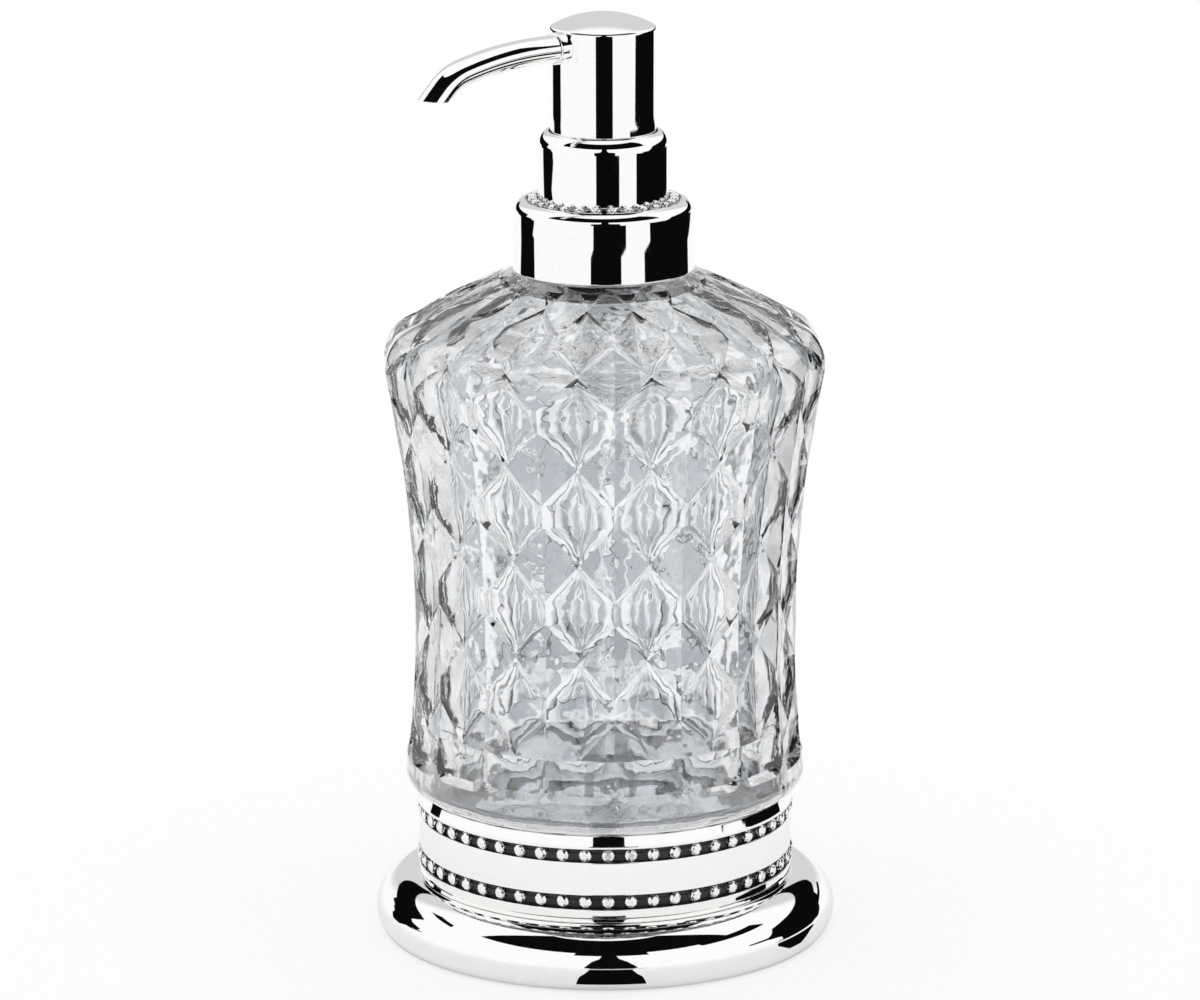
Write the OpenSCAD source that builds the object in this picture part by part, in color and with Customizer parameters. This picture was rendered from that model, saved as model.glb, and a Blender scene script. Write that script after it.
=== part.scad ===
// Table-top soap pump dispenser: a diamond-cut glass bottle standing in a
// plated metal holder, closed by a lotion pump with a curved spout.
// Millimetres. The origin is on the floor under the middle of the foot,
// +Z is up and the spout points along -Y.

/* [Foot] */
// Widest diameter of the foot
foot_d = 100; // [98:1:116]
// Height of the foot's top face, where the holder ring stands
foot_h = 13.2; // [12:0.1:15]
// Radius of the foot's rounded rim
foot_rim_r = 6.5; // [6:0.5:8]
// Radius of the larger round that leads up from the rim
foot_crown_r = 10; // [8:0.5:11]
// Angle up the rim at which the larger round starts
foot_crown_angle = 30; // [24:1:42]
// Slope of the foot's top face in degrees
foot_slope = 10; // [6:1:12]
// Thickness of the foot's top wall
foot_wall = 2.2; // [1.6:0.2:3]
// Width of the foot's underside rim, from its outer edge to the pad
foot_rim_w = 5; // [4:0.5:6]
// Width of the ledge that carries the pad
foot_ledge_w = 3; // [2:0.5:5]
// Thickness of the non-slip pad
pad_t = 2; // [1.5:0.25:3]
// How far the pad stands out below the rim
pad_proud = 0.5; // [0.3:0.1:1]

/* [Holder ring] */
// Outer diameter of the holder's plain band
ring_d = 81; // [78:0.5:84]
// Height of the holder ring
ring_h = 18.9; // [18.6:0.1:22]
// Wall of the holder ring at its plain band
ring_wall = 2.9; // [2.4:0.1:3.2]
// How far the two lips stand out past the plain band
ring_lip = 0.4; // [0.2:0.1:0.8]
// Height of the sloping top rim
ring_rim_h = 2.1; // [1.5:0.1:2.3]
// How far the sloping rim leans in
ring_rim_in = 1.1; // [0.6:0.1:1.4]
// Height of each groove for a row of stones
groove_h = 3; // [2.8:0.1:3.6]
// Depth of each groove
groove_depth = 0.9; // [0.6:0.1:1.2]
// Middle of the lower groove above the holder's foot
lower_row_h = 4.2; // [4:0.1:5.4]
// Middle of the upper groove above the holder's foot
upper_row_h = 14.5; // [12.4:0.1:14.7]

/* [Stones] */
// Number of stones in each row of the holder
row_stones = 52; // [36:1:54]
// Diameter of a stone in the holder's rows
row_stone_d = 2.5; // [2:0.1:2.6]
// Number of stones round the collar
collar_stones = 28; // [20:1:29]
// Diameter of a stone on the collar
collar_stone_d = 2.1; // [1.6:0.1:2.3]
// Wall of a stone's cup
cup_wall = 0.2; // [0.15:0.05:0.3]
// Depth of a stone's cup
cup_h = 0.8; // [0.6:0.05:1]
// Height of the stone's crown above its cup
crown_h = 0.5; // [0.3:0.05:0.7]
// Width of the strip that links the cups
link_w = 0.9; // [0.6:0.1:1.2]
// Thickness of the strip that links the cups
link_t = 0.3; // [0.2:0.05:0.4]

/* [Bottle] */
// Thickness of the seat pad under the bottle
seat_t = 1.2; // [0.8:0.1:2]
// Narrowest diameter of the bottle
waist_d = 83.2; // [80:0.2:84]
// Height of the narrowest place above the bottle's base
waist_h = 52.7; // [48:0.1:58]
// Radius of the hollow curve down the bottle's side
body_arc = 278; // [260:2:400]
// Height of the rounded corner's centre above the bottle's base
corner_h = 111.7; // [106:0.1:118]
// Radius of the rounded corner
corner_r = 9.8; // [8:0.1:13]
// Slope of the shoulder where it meets the corner, in degrees
shoulder_slope = 30; // [26:1:34]
// Radius of the shoulder's curve
shoulder_arc = 196; // [150:2:240]
// Height of the plain glass foot's top edge above the base
plain_h = 22; // [21:0.1:23]
// Radius of the rounded edge under the plain foot
plain_r = 4.3; // [3.6:0.1:4.6]
// Wall of the bottle
glass_wall = 4.8; // [4.2:0.2:6]
// Thickness of the heavy glass base
base_t = 9; // [8:0.5:14]
// Height of the hollow under the glass base
punt_h = 1.5; // [0.8:0.1:2.5]
// Diameter of the bottle's neck over its thread
neck_d = 26.2; // [25.6:0.1:26.4]
// Height of the neck above the shoulder
neck_h = 10.2; // [9.8:0.1:13]
// Bore of the neck
neck_bore = 21; // [18:0.5:21.5]

/* [Cut pattern] */
// Number of panels round the bottle
panels = 18; // [12:1:20]
// Turn of the first node from the line opposite the spout, in degrees
cut_turn = 3.8; // [0:0.2:19]
// Distance between rows of nodes, along the side
row_pitch = 21.2; // [20:0.2:22]
// Height of the lowest row of nodes above the bottle's base
first_node_h = 34.6; // [34:0.1:36]
// Height of a four-sided point, from its tip to its upper or lower corner
point_h = 8; // [6:0.2:9]
// Depth of the cutting at the nodes
node_depth = 0.9; // [0.4:0.1:1.2]
// Depth of the ridges between the points
ridge_depth = 0.2; // [0:0.05:0.4]
// Extra depth in the middle of the scoops
scoop_depth = 1.2; // [0.6:0.1:1.4]
// Length over which the cutting runs out
run_out = 1.4; // [1:0.1:3]
// Radius at which the cutting ends below the collar
cut_end_r = 22; // [21:0.5:25]
// Steps across one panel and one row
cut_steps = 4; // [4:4:8]

/* [Collar] */
// Diameter of the collar at its lower edge
collar_d = 38.8; // [38:0.1:40]
// Diameter of the collar below its rounded top
collar_top_d = 38.1; // [37.6:0.1:38.4]
// Wall of the collar's metal shell
shell_wall = 0.7; // [0.5:0.1:0.9]
// Radius of the collar's rounded top edge
collar_round = 2.3; // [1.2:0.1:2.3]
// Height of the lip outside the stones
collar_lip_h = 0.6; // [0.3:0.1:0.8]
// Diameter of the upper collar that guides the head
guide_d = 27.7; // [27.2:0.1:28.2]
// Height of the guide collar
guide_h = 15.4; // [14.6:0.2:18]
// Wall of the guide collar below its rounded shoulder
guide_wall = 1.2; // [0.9:0.1:1.3]
// Height of the guide collar's rounded shoulder
guide_round_h = 3; // [1.8:0.1:3.2]
// Wall of the screw cap's skirt
cap_wall = 1.8; // [1.4:0.1:2]
// Thickness of the screw cap's top
cap_t = 1.5; // [1.2:0.1:2]
// Number of ribs that carry the metal shell on the cap
cap_ribs = 18; // [12:1:24]
// Thickness of each rib of the cap
cap_rib_t = 1.2; // [0.8:0.1:1.6]

/* [Pump] */
// Thickness of the neck gasket
gasket_t = 1; // [0.8:0.1:1.5]
// Diameter of the pump housing's flange
flange_d = 25.2; // [24:0.1:25.6]
// Thickness of the pump housing's flange
flange_t = 1.2; // [1:0.1:1.6]
// Bore of the pump chamber
barrel_bore = 11; // [10.6:0.1:11.4]
// Wall of the pump chamber
barrel_wall = 1; // [0.8:0.1:1.2]
// Depth of the spring's seat below the neck's rim
spring_seat_depth = 36; // [34:0.5:40]
// Outer diameter of the neck of the housing that passes through the cap
housing_neck_d = 16.4; // [15.6:0.2:17]
// Diameter of the retainer's flange above the cap
retainer_d = 20.8; // [19:0.2:22]
// Thickness of the retainer's flange
retainer_t = 0.8; // [0.6:0.1:1.2]
// Diameter of the retainer's tower
tower_d = 14.8; // [12:0.2:15]
// Height of the retainer's tower above its flange
tower_h = 5.5; // [4:0.5:5.8]
// Length of the retainer's plug inside the chamber
plug_h = 9; // [7:0.5:10]
// Travel of the pump
stroke = 12; // [9:0.5:12.5]
// Height of the piston
piston_h = 6; // [5:0.5:7]
// Height of each sealing lip of the piston
piston_lip_h = 1.2; // [0.8:0.1:1.6]
// Outer diameter of the pump stem
stem_d = 8; // [7.4:0.1:8.4]
// Bore of the pump stem
stem_bore = 4; // [3.4:0.1:4.4]
// Wire diameter of the return spring
wire_d = 0.8; // [0.6:0.05:1]
// Turns of the return spring
spring_turns = 8; // [6:1:9]
// Diameter of the check ball
ball_d = 4.4; // [4:0.1:4.8]
// Lift of the check ball
ball_lift = 1.5; // [0.8:0.1:2]
// Outer diameter of the dip tube
tube_d = 6; // [5.4:0.1:6.4]
// Wall of the dip tube
tube_wall = 0.8; // [0.6:0.1:1]
// Depth of the socket that holds the dip tube
tube_socket_h = 7; // [5:0.5:9]
// Slant of the dip tube's tip in degrees
tube_tip_angle = 40; // [20:5:45]
// Space under the dip tube's tip
tube_tip_gap = 2.6; // [1.5:0.1:5]

/* [Head] */
// Diameter of the pump head
head_d = 22.6; // [22.2:0.1:23]
// Height of the head's side, from its hidden skirt to its top edge
head_h = 24.5; // [23.5:0.1:27]
// Rise of the domed top
dome_h = 3; // [2.2:0.1:3.4]
// Radius of the head's top edge
head_edge_r = 0.8; // [0.4:0.1:1.2]
// Wall of the head's metal shell
head_wall = 1; // [0.8:0.1:1.2]
// Length of the head hidden in the guide collar at rest
skirt_overlap = 2; // [1.5:0.1:2.5]
// Diameter of the core's hub
hub_d = 13; // [12:0.2:14]
// Number of ribs on the core
core_ribs = 6; // [4:1:8]
// Thickness of each rib of the core
core_rib_t = 1.2; // [0.8:0.1:1.6]
// Depth of the core's socket for the stem
socket_h = 6.8; // [5:0.2:8]

/* [Spout] */
// Outer diameter of the spout
spout_d = 5.9; // [5.7:0.1:6.5]
// Wall of the spout
spout_wall = 0.7; // [0.5:0.1:0.9]
// Height of the spout's axis below the head's top edge
spout_drop = 3.8; // [3.6:0.1:5]
// Radius at which the spout starts to bend
spout_straight_r = 17.7; // [16:0.1:18.5]
// Bend radius of the spout's long arc
spout_long_r = 83; // [76:1:90]
// Angle of the long arc in degrees
spout_long_angle = 13.8; // [13:0.2:15]
// Bend radius of the spout's tip
spout_tip_r = 11.2; // [10.4:0.1:12.4]
// Angle of the tip's arc in degrees
spout_tip_angle = 31.6; // [30.6:0.2:33]
// Straight length at the spout's tip
spout_tip_l = 3; // [2.9:0.1:3.6]
// Angle between the tip's end cut and the floor in degrees
spout_cut_angle = 6; // [5:1:20]
// Depth of the core's socket for the spout
spout_seat = 3; // [2:0.5:3.5]
// How far the liner ends inside the spout's tip
liner_inset = 0.8; // [0.6:0.1:1]
// Length of the ring round the spout's root
ferrule_l = 2.2; // [1.6:0.1:2.6]
// Thickness of the ring round the spout's root
ferrule_t = 0.45; // [0.3:0.05:0.5]
// Wall of the plastic liner in the spout
liner_wall = 0.6; // [0.4:0.1:0.8]

/* [Fits] */
// Radial clearance of sliding and turning pump parts
running_fit = 0.08; // [0.05:0.01:0.1]
// Radial clearance between parts that only pass each other
free_gap = 0.3; // [0.25:0.05:0.4]
// Radial clearance of parts that are pressed or glued together
seat_gap = 0.03; // [0.02:0.01:0.05]

/* [Hidden] */
$fn = 96;
// A small overlap that makes cuts run clear of a face
eps = 0.05;

// Foot and holder
foot_r = foot_d / 2;
ring_r = ring_d / 2;
step_r = ring_r + ring_lip + 0.3;
crown_dir = [cos(foot_crown_angle), sin(foot_crown_angle)];
crown_x = foot_r - foot_rim_r + (foot_rim_r - foot_crown_r) * crown_dir[0];
crown_end_r = crown_x + foot_crown_r * sin(foot_slope);
crown_z = foot_h - foot_crown_r * cos(foot_slope) - max(0, crown_end_r - step_r) * tan(foot_slope);
crown_c = [crown_x, crown_z];
rim_c = crown_c - (foot_rim_r - foot_crown_r) * crown_dir;
rim_low_a = -asin((rim_c[1] - pad_proud) / foot_rim_r);
pad_r = foot_r - foot_rim_w;
ring_in_r = ring_r - ring_wall;
groove_r = ring_r - groove_depth;
ring_top = foot_h + ring_h;
upper_row_z = foot_h + upper_row_h;
lower_row_z = foot_h + lower_row_h;

// Bottle
bottle_z = foot_h + seat_t;
plug_r = ring_in_r - free_gap;
waist_z = bottle_z + waist_h;
corner_z = bottle_z + corner_h;
tilt = asin((corner_z - waist_z) / (body_arc + corner_r));
side_c = [waist_d / 2 + body_arc, waist_z];
corner_c = [side_c[0] - (body_arc + corner_r) * cos(tilt), corner_z];
shoulder_dir = [sin(shoulder_slope), cos(shoulder_slope)];
shoulder_c = corner_c + (corner_r - shoulder_arc) * shoulder_dir;
collar_r = collar_d / 2;
collar_foot_r = collar_r + 0.1;
shoulder_top = shoulder_z(collar_foot_r);
rim_z = shoulder_top + neck_h;
neck_r = neck_d / 2;
bore_r = neck_bore / 2;
cavity_z = bottle_z + base_t;
cavity_round = 8;

// Distances along the side, counted from the lowest row of nodes
first_node_z = bottle_z + first_node_h;
s_corner = side_s(waist_z + body_arc * sin(tilt));
s_shoulder = s_corner + corner_r * rad(tilt + 90 - shoulder_slope);
s_cut_start = -point_h - run_out;
s_cut_end = shoulder_s(cut_end_r);
columns = panels * cut_steps;

// Collar and pump
flange_z = rim_z + gasket_t;
cap_in_z = flange_z + flange_t + running_fit;
cap_top = cap_in_z + cap_t;
cap_in_r = neck_r + free_gap;
cap_r = cap_in_r + cap_wall;
cap_z = shoulder_top + 1.4;
shell_z = shoulder_top + free_gap;
shell_top_r = collar_top_d / 2;
shell_in_r = shell_top_r - shell_wall;
guide_r = guide_d / 2;
guide_in_r = guide_r - guide_wall;
guide_z = cap_top + shell_wall;
guide_top = guide_z + guide_h;
head_r = head_d / 2;
guide_lip_r = head_r + free_gap;
collar_lip_r = shell_top_r - collar_round - 0.1;
stone_track_r = (guide_r + collar_lip_r - 0.1) / 2;
barrel_r = barrel_bore / 2;
barrel_out_r = barrel_r + barrel_wall;
housing_neck_r = housing_neck_d / 2;
cap_hole_r = housing_neck_r + free_gap;
housing_top = cap_top + running_fit;
retainer_top = housing_top + retainer_t;
tower_top = retainer_top + tower_h;
plug_z = housing_top - plug_h;
spring_z = rim_z - spring_seat_depth;
stem_r = stem_d / 2;
stem_bore_r = stem_bore / 2;
piston_top = plug_z - free_gap;
piston_z = piston_top - piston_h;
rod_t = 1.1;
rod_z = piston_z - rod_t;
ball_r = ball_d / 2;
ball_seat_r = ball_r * 0.75;
chamber_r = ball_r + 0.8;
cage_t = 1.4;
seat_cone_h = 1.6;
ball_z = spring_z - cage_t - ball_lift - ball_r - 0.1;
cone_z = ball_z - sqrt(ball_r * ball_r - ball_seat_r * ball_seat_r) - seat_gap;
tube_r = tube_d / 2;
tube_top = cone_z - 1;
tube_tip = cavity_z + tube_tip_gap;

// Head and spout
head_z = guide_top - skirt_overlap;
head_edge_z = head_z + head_h;
head_in_r = head_r - head_wall;
dome_r = (head_r * head_r + dome_h * dome_h) / (2 * dome_h);
core_z = tower_top + stroke + 0.4;
core_top = head_edge_z - head_wall - 0.4;
stem_top = core_z + socket_h;
spout_z = head_edge_z - spout_drop;
spout_r = spout_d / 2;
spout_in_r = spout_r - spout_wall;
liner_r = spout_in_r - seat_gap;
liner_in_r = liner_r - liner_wall;
spout_root_r = hub_d / 2 - spout_seat;
ferrule_r = spout_r + ferrule_t;

// ---------- general functions ----------

// Degrees to radians
function rad(a) = a * PI / 180;

// Points of an arc about c, from angle a to angle b in n steps
function arc(c, r, a, b, n = 12) = [
    for (i = [0:n])
        let (t = a + (b - a) * i / n)
        c + r * [cos(t), sin(t)]
];

// A ramp from 0 to 1 as x runs from a to b
function ramp(x, a, b) = min(1, max(0, (x - a) / (b - a)));

// ---------- foot ----------

// The outer line of the foot, from its underside edge to the holder's place
function foot_outline() = concat(
    arc(rim_c, foot_rim_r, rim_low_a, foot_crown_angle),
    arc(crown_c, foot_crown_r, foot_crown_angle + 5, 90 - foot_slope, 9)
);

// ---------- bottle ----------

// Height of the shoulder's curve at radius r
function shoulder_z(r) = shoulder_c[1] + sqrt(pow(shoulder_arc, 2) - pow(r - shoulder_c[0], 2));

// Distance along the side at height z
function side_s(z) =
    body_arc * rad(asin((z - waist_z) / body_arc) - asin((first_node_z - waist_z) / body_arc));

// Distance along the side at radius r of the shoulder
function shoulder_s(r) =
    s_shoulder + shoulder_arc * rad(shoulder_slope - asin((r - shoulder_c[0]) / shoulder_arc));

// Centre, radius and angle of the bottle's outline at distance s: side, corner, then shoulder
function side_a(s) = asin((first_node_z - waist_z) / body_arc) + s / rad(1) / body_arc;
function corner_a(s) = -tilt + (s - s_corner) / rad(1) / corner_r;
function shoulder_a(s) = 90 - shoulder_slope + (s - s_shoulder) / rad(1) / shoulder_arc;

// Point and outward normal of the bottle's outline at distance s, as [r, z, nr, nz]
function outline(s) =
    s < s_corner ? side_point(side_a(s)) :
    s < s_shoulder ? round_point(corner_c, corner_r, corner_a(s)) :
    round_point(shoulder_c, shoulder_arc, shoulder_a(s));
function side_point(a) = [side_c[0] - body_arc * cos(a), side_c[1] + body_arc * sin(a), cos(a), -sin(a)];
function round_point(c, r, a) = [c[0] + r * cos(a), c[1] + r * sin(a), cos(a), sin(a)];

// Depth of the cutting at x panels round the bottle and distance s along its side.
// Nodes lie at whole x and whole rows. The points stand between them, on the ridges at half x,
// and the scoops widen above and below the nodes.
function cut_depth(x, s) =
    let (dx = abs(x - round(x)))
    let (y = s / row_pitch)
    let (q = abs(y - round(y)) * row_pitch / point_h)
    let (fade = ramp(s, s_cut_start, s_cut_start + run_out) * ramp(-s, -s_cut_end, run_out - s_cut_end))
    let (side = 1 - 2 * dx)
    fade * (side + q <= 1 ? point_level(side, q) : scoop_level(1 - side, min(1, q), abs(y - round(y))));
function point_level(side, q) = node_depth * side + ridge_depth * q;
function scoop_level(dx, half, dy) =
    let (edge = point_level(1 - half, half))
    let (bottom = node_depth + scoop_depth * (1 - pow(1 - 2 * dy, 2)))
    half == 0 ? node_depth : edge + (bottom - edge) * (1 - pow(dx / half, 2));

// One ring of the bottle: a profile row [r, z, nr, nz, s] turned round the axis
function glass_ring(p) = [
    for (i = [0:columns - 1])
        let (a = 360 * i / columns + 90 + cut_turn)
        let (cut = len(p) > 4 ? cut_depth(i / cut_steps, p[4]) * [p[2], p[3]] : [0, 0])
        [(p[0] - cut[0]) * cos(a), (p[0] - cut[0]) * sin(a), p[1] - cut[1]]
];

// Rows of the cut wall: through the corners and edges of the points, and halfway between two rows
half_steps = cut_steps / 2;
point_rows = [for (i = [-half_steps:half_steps]) point_h * i / half_steps];
last_row = ceil(s_cut_end / row_pitch);
function cut_rows() = concat(
    [s_cut_start],
    [for (k = [0:last_row], v = concat(point_rows, [row_pitch / 2]))
        let (s = k * row_pitch + v) if (s < s_cut_end - run_out - 0.5) s],
    [s_cut_end - run_out, s_cut_end]
);

// The bottle's outer profile from the middle of its base to the inner edge of its rim
plain_z = bottle_z + plain_h;
plain_c = [outline(side_s(plain_z))[0] - plain_r, plain_z];
function outer_rows() = concat(
    [[plug_r * 0.5, bottle_z + punt_h * 0.7], [plug_r * 0.85, bottle_z], [plug_r - 1, bottle_z]],
    [[plug_r, bottle_z + 1], [plug_r, ring_top + free_gap]],
    arc(plain_c, plain_r, -72, 0, 4),
    [for (s = cut_rows()) concat(outline(s), s)],
    [[collar_foot_r, shoulder_top], [neck_r + 1.2, shoulder_top + 0.1], [neck_r, shoulder_top + 1.2]],
    [[neck_r, rim_z - 0.6], [neck_r - 0.6, rim_z], [bore_r + 0.4, rim_z], [bore_r, rim_z - 0.4]]
);

// The cavity's profile from the neck down to the middle of its floor
cavity_top_s = shoulder_s(cut_end_r);
cavity_floor_s = side_s(cavity_z + cavity_round);
cavity_floor_c = [outline(cavity_floor_s)[0] - glass_wall - cavity_round, cavity_z + cavity_round];
function wall_point(s) = let (p = outline(s)) [p[0] - glass_wall * p[2], p[1] - glass_wall * p[3]];
function inner_rows() = concat(
    [[bore_r, shoulder_top - 2], [bore_r + 1.2, shoulder_top - 3.4]],
    [for (k = [0:4]) wall_point(cavity_top_s + (s_shoulder - cavity_top_s) * k / 4)],
    [for (k = [1:3]) wall_point(s_shoulder + (s_corner - s_shoulder) * k / 3)],
    [for (k = [1:4]) wall_point(s_corner + (cavity_floor_s - s_corner) * k / 4)],
    arc(cavity_floor_c, cavity_round, -22.5, -90, 3)
);

// Quads between ring k and ring k + 1, split along the edges of the diamonds
function wall_faces(k) = [
    for (i = [0:columns - 1])
        let (a = 1 + k * columns)
        let (b = a + columns)
        let (j = (i + 1) % columns)
        each (rising(i, k) ? [[a + i, a + j, b + j], [a + i, b + j, b + i]] :
            [[a + i, a + j, b + i], [a + j, b + j, b + i]])
];
function rising(i, k) =
    let (x = (i + 0.5) / cut_steps)
    let (y = (row_s(k) + row_s(k + 1)) / 2 / row_pitch)
    (x - round(x)) * (y - round(y)) > 0;
function row_s(k) = let (p = rows[min(k, len(rows) - 1)]) len(p) > 4 ? p[4] : 0;

outer = outer_rows();
rows = concat(outer, inner_rows());

module glass_bottle() {
    ring_count = len(rows);
    points = concat(
        [[0, 0, bottle_z + punt_h]],
        [for (p = rows) each glass_ring(p)],
        [[0, 0, cavity_z]]
    );
    last = len(points) - 1;
    faces = concat(
        [for (i = [0:columns - 1]) [0, 1 + (i + 1) % columns, 1 + i]],
        [for (k = [0:ring_count - 2]) each wall_faces(k)],
        [for (i = [0:columns - 1]) [last, last - columns + i, last - columns + (i + 1) % columns]]
    );
    color([0.82, 0.87, 0.92, 0.5])
        polyhedron(points = points, faces = [for (f = faces) [f[0], f[2], f[1]]]);
}

// ---------- foot and holder ----------

module foot_flange() {
    outline_pts = foot_outline();
    under_z = foot_h - foot_wall;
    color("silver") rotate_extrude() polygon(concat(
        [[pad_r, pad_proud]],
        outline_pts,
        [[min(step_r, crown_end_r - 0.2), foot_h], [0, foot_h], [0, under_z]],
        [[pad_r - foot_ledge_w - 2, under_z], [pad_r - foot_ledge_w, under_z - 2]],
        [[pad_r - foot_ledge_w, pad_t], [pad_r, pad_t]]
    ));
}

module foot_pad() {
    color([0.12, 0.12, 0.13]) cylinder(r = pad_r - seat_gap, h = pad_t);
}

module holder_ring() {
    lip_r = ring_r + ring_lip;
    low0 = lower_row_z - groove_h / 2;
    low1 = lower_row_z + groove_h / 2;
    up0 = upper_row_z - groove_h / 2;
    up1 = upper_row_z + groove_h / 2;
    rim0 = ring_top - ring_rim_h;
    color("silver") rotate_extrude() polygon([
        [ring_in_r, foot_h], [ring_r - 0.6, foot_h], [ring_r - 0.3, foot_h + 0.8], [lip_r, foot_h + 1.2],
        [lip_r, low0 - 0.3], [lip_r - 0.3, low0], [groove_r, low0], [groove_r, low1],
        [ring_r - 0.15, low1], [ring_r, low1 + 0.15], [ring_r, up0 - 0.15], [ring_r - 0.15, up0],
        [groove_r, up0], [groove_r, up1], [lip_r - 0.2, up1], [lip_r, up1 + 0.25],
        [lip_r, rim0 - 0.15], [lip_r - 0.15, rim0], [lip_r - ring_rim_in, ring_top - 0.2],
        [lip_r - ring_rim_in - 0.3, ring_top], [ring_in_r + 0.3, ring_top], [ring_in_r, ring_top - 0.3]
    ]);
}

// ---------- rows of stones ----------

// One open cup, standing on z = 0
module cup(d) {
    difference() {
        cylinder(d = d + 2 * cup_wall, h = cup_h, $fn = 32);
        translate([0, 0, cup_wall]) cylinder(d = d, h = cup_h, $fn = 32);
    }
}

// One cut stone that sits in a cup standing on z = 0
module stone(d) {
    r = d / 2 - seat_gap;
    girdle = cup_h - 0.15;
    rotate_extrude($fn = 32) polygon([
        [0, cup_wall + seat_gap], [r, girdle - 0.1], [r, girdle + 0.15], [r * 0.6, cup_h + crown_h],
        [0, cup_h + crown_h]
    ]);
}

// Places its child n times round the holder at height z, looking outwards
module round_holder(z, n) {
    for (i = [0:n - 1])
        rotate([0, 0, 360 * (i + 0.5) / n])
            translate([groove_r + seat_gap, 0, z]) rotate([0, 90, 0]) children();
}

// Places its child n times round the collar, looking up
module round_collar(n) {
    for (i = [0:n - 1])
        rotate([0, 0, 360 * (i + 0.5) / n]) translate([stone_track_r, 0, guide_z + seat_gap]) children();
}

// The strip of a holder row: a flat band with a cup at every stone
module holder_chain(z) {
    round_holder(z, row_stones) cup(row_stone_d);
    difference() {
        translate([0, 0, z - link_w / 2]) rotate_extrude()
            translate([groove_r + seat_gap, 0]) square([link_t, link_w]);
        round_holder(z, row_stones)
            translate([0, 0, -1]) cylinder(d = row_stone_d + cup_wall, h = 3, $fn = 32);
    }
}

module upper_cup_chain() {
    color("gainsboro") holder_chain(upper_row_z);
}

module lower_cup_chain() {
    color("gainsboro") holder_chain(lower_row_z);
}

module upper_crystals() {
    color("aliceblue") round_holder(upper_row_z, row_stones) stone(row_stone_d);
}

module lower_crystals() {
    color("aliceblue") round_holder(lower_row_z, row_stones) stone(row_stone_d);
}

module collar_cup_chain() {
    color("gainsboro") {
        round_collar(collar_stones) cup(collar_stone_d);
        difference() {
            translate([0, 0, guide_z + seat_gap]) rotate_extrude()
                translate([stone_track_r - link_w / 2, 0]) square([link_w, link_t]);
            round_collar(collar_stones)
                translate([0, 0, -1]) cylinder(d = collar_stone_d + cup_wall, h = 3, $fn = 32);
        }
    }
}

module collar_crystals() {
    color("aliceblue") round_collar(collar_stones) stone(collar_stone_d);
}

module seat_pad() {
    color([0.85, 0.85, 0.85]) translate([0, 0, foot_h]) difference() {
        cylinder(r = ring_in_r - seat_gap, h = seat_t);
        translate([0, 0, -eps]) cylinder(r = ring_in_r - 14, h = seat_t + 2 * eps);
    }
}

// ---------- collar ----------

// Height at which the shell's tapered side ends, and the shell's inner radius at height z
taper_top = cap_top - 0.6;
function shell_inner_r(z) =
    collar_r - shell_wall + (shell_top_r - collar_r) * ramp(z, shell_z, taper_top);

module screw_cap() {
    rib_top = taper_top - 1;
    color("white") difference() {
        union() {
            translate([0, 0, cap_z]) cylinder(r = cap_r, h = cap_top - cap_z);
            for (i = [0:cap_ribs - 1]) rotate([90, 0, 360 * i / cap_ribs])
                linear_extrude(cap_rib_t, center = true) polygon([
                    [cap_r - 0.5, cap_z], [shell_inner_r(cap_z) - seat_gap, cap_z],
                    [shell_inner_r(rib_top) - seat_gap, rib_top], [cap_r - 0.5, rib_top]
                ]);
        }
        translate([0, 0, cap_z - eps]) cylinder(r = cap_in_r, h = cap_in_z - cap_z + eps);
        cylinder(r = cap_hole_r, h = cap_top + eps);
    }
}

module collar_shell() {
    lip_z = guide_z + collar_lip_h;
    round_c = [shell_top_r - collar_round, lip_z - collar_round];
    color("silver") rotate_extrude() polygon(concat(
        [[collar_r - shell_wall, shell_z], [collar_r, shell_z], [collar_r, shell_z + 0.4]],
        arc(round_c, collar_round, 0, 90, 8),
        [[collar_lip_r, lip_z - 0.25], [collar_lip_r - 0.1, guide_z]],
        [[retainer_d / 2 + free_gap, guide_z], [retainer_d / 2 + free_gap, cap_top]],
        [[round_c[0] - 0.4, cap_top]],
        [[shell_in_r, taper_top]]
    ));
}

module guide_collar() {
    shoulder_z0 = guide_top - guide_round_h;
    shoulder_w = guide_r - guide_lip_r - 0.15;
    color("silver") rotate_extrude() polygon(concat(
        [[guide_in_r, guide_z], [guide_r, guide_z], [guide_r, shoulder_z0]],
        [for (a = [15:15:75]) [guide_r - shoulder_w * (1 - cos(a)), shoulder_z0 + guide_round_h * sin(a)]],
        [[guide_lip_r + 0.15, guide_top], [guide_lip_r, guide_top - 0.15]],
        [[guide_lip_r, shoulder_z0 - 0.4], [guide_in_r, shoulder_z0 - 1.2]]
    ));
}

// ---------- pump ----------

module neck_gasket() {
    color([0.9, 0.9, 0.88]) translate([0, 0, rim_z]) difference() {
        cylinder(d = flange_d, h = gasket_t);
        translate([0, 0, -eps]) cylinder(r = barrel_out_r + free_gap, h = gasket_t + 2 * eps);
    }
}

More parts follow.
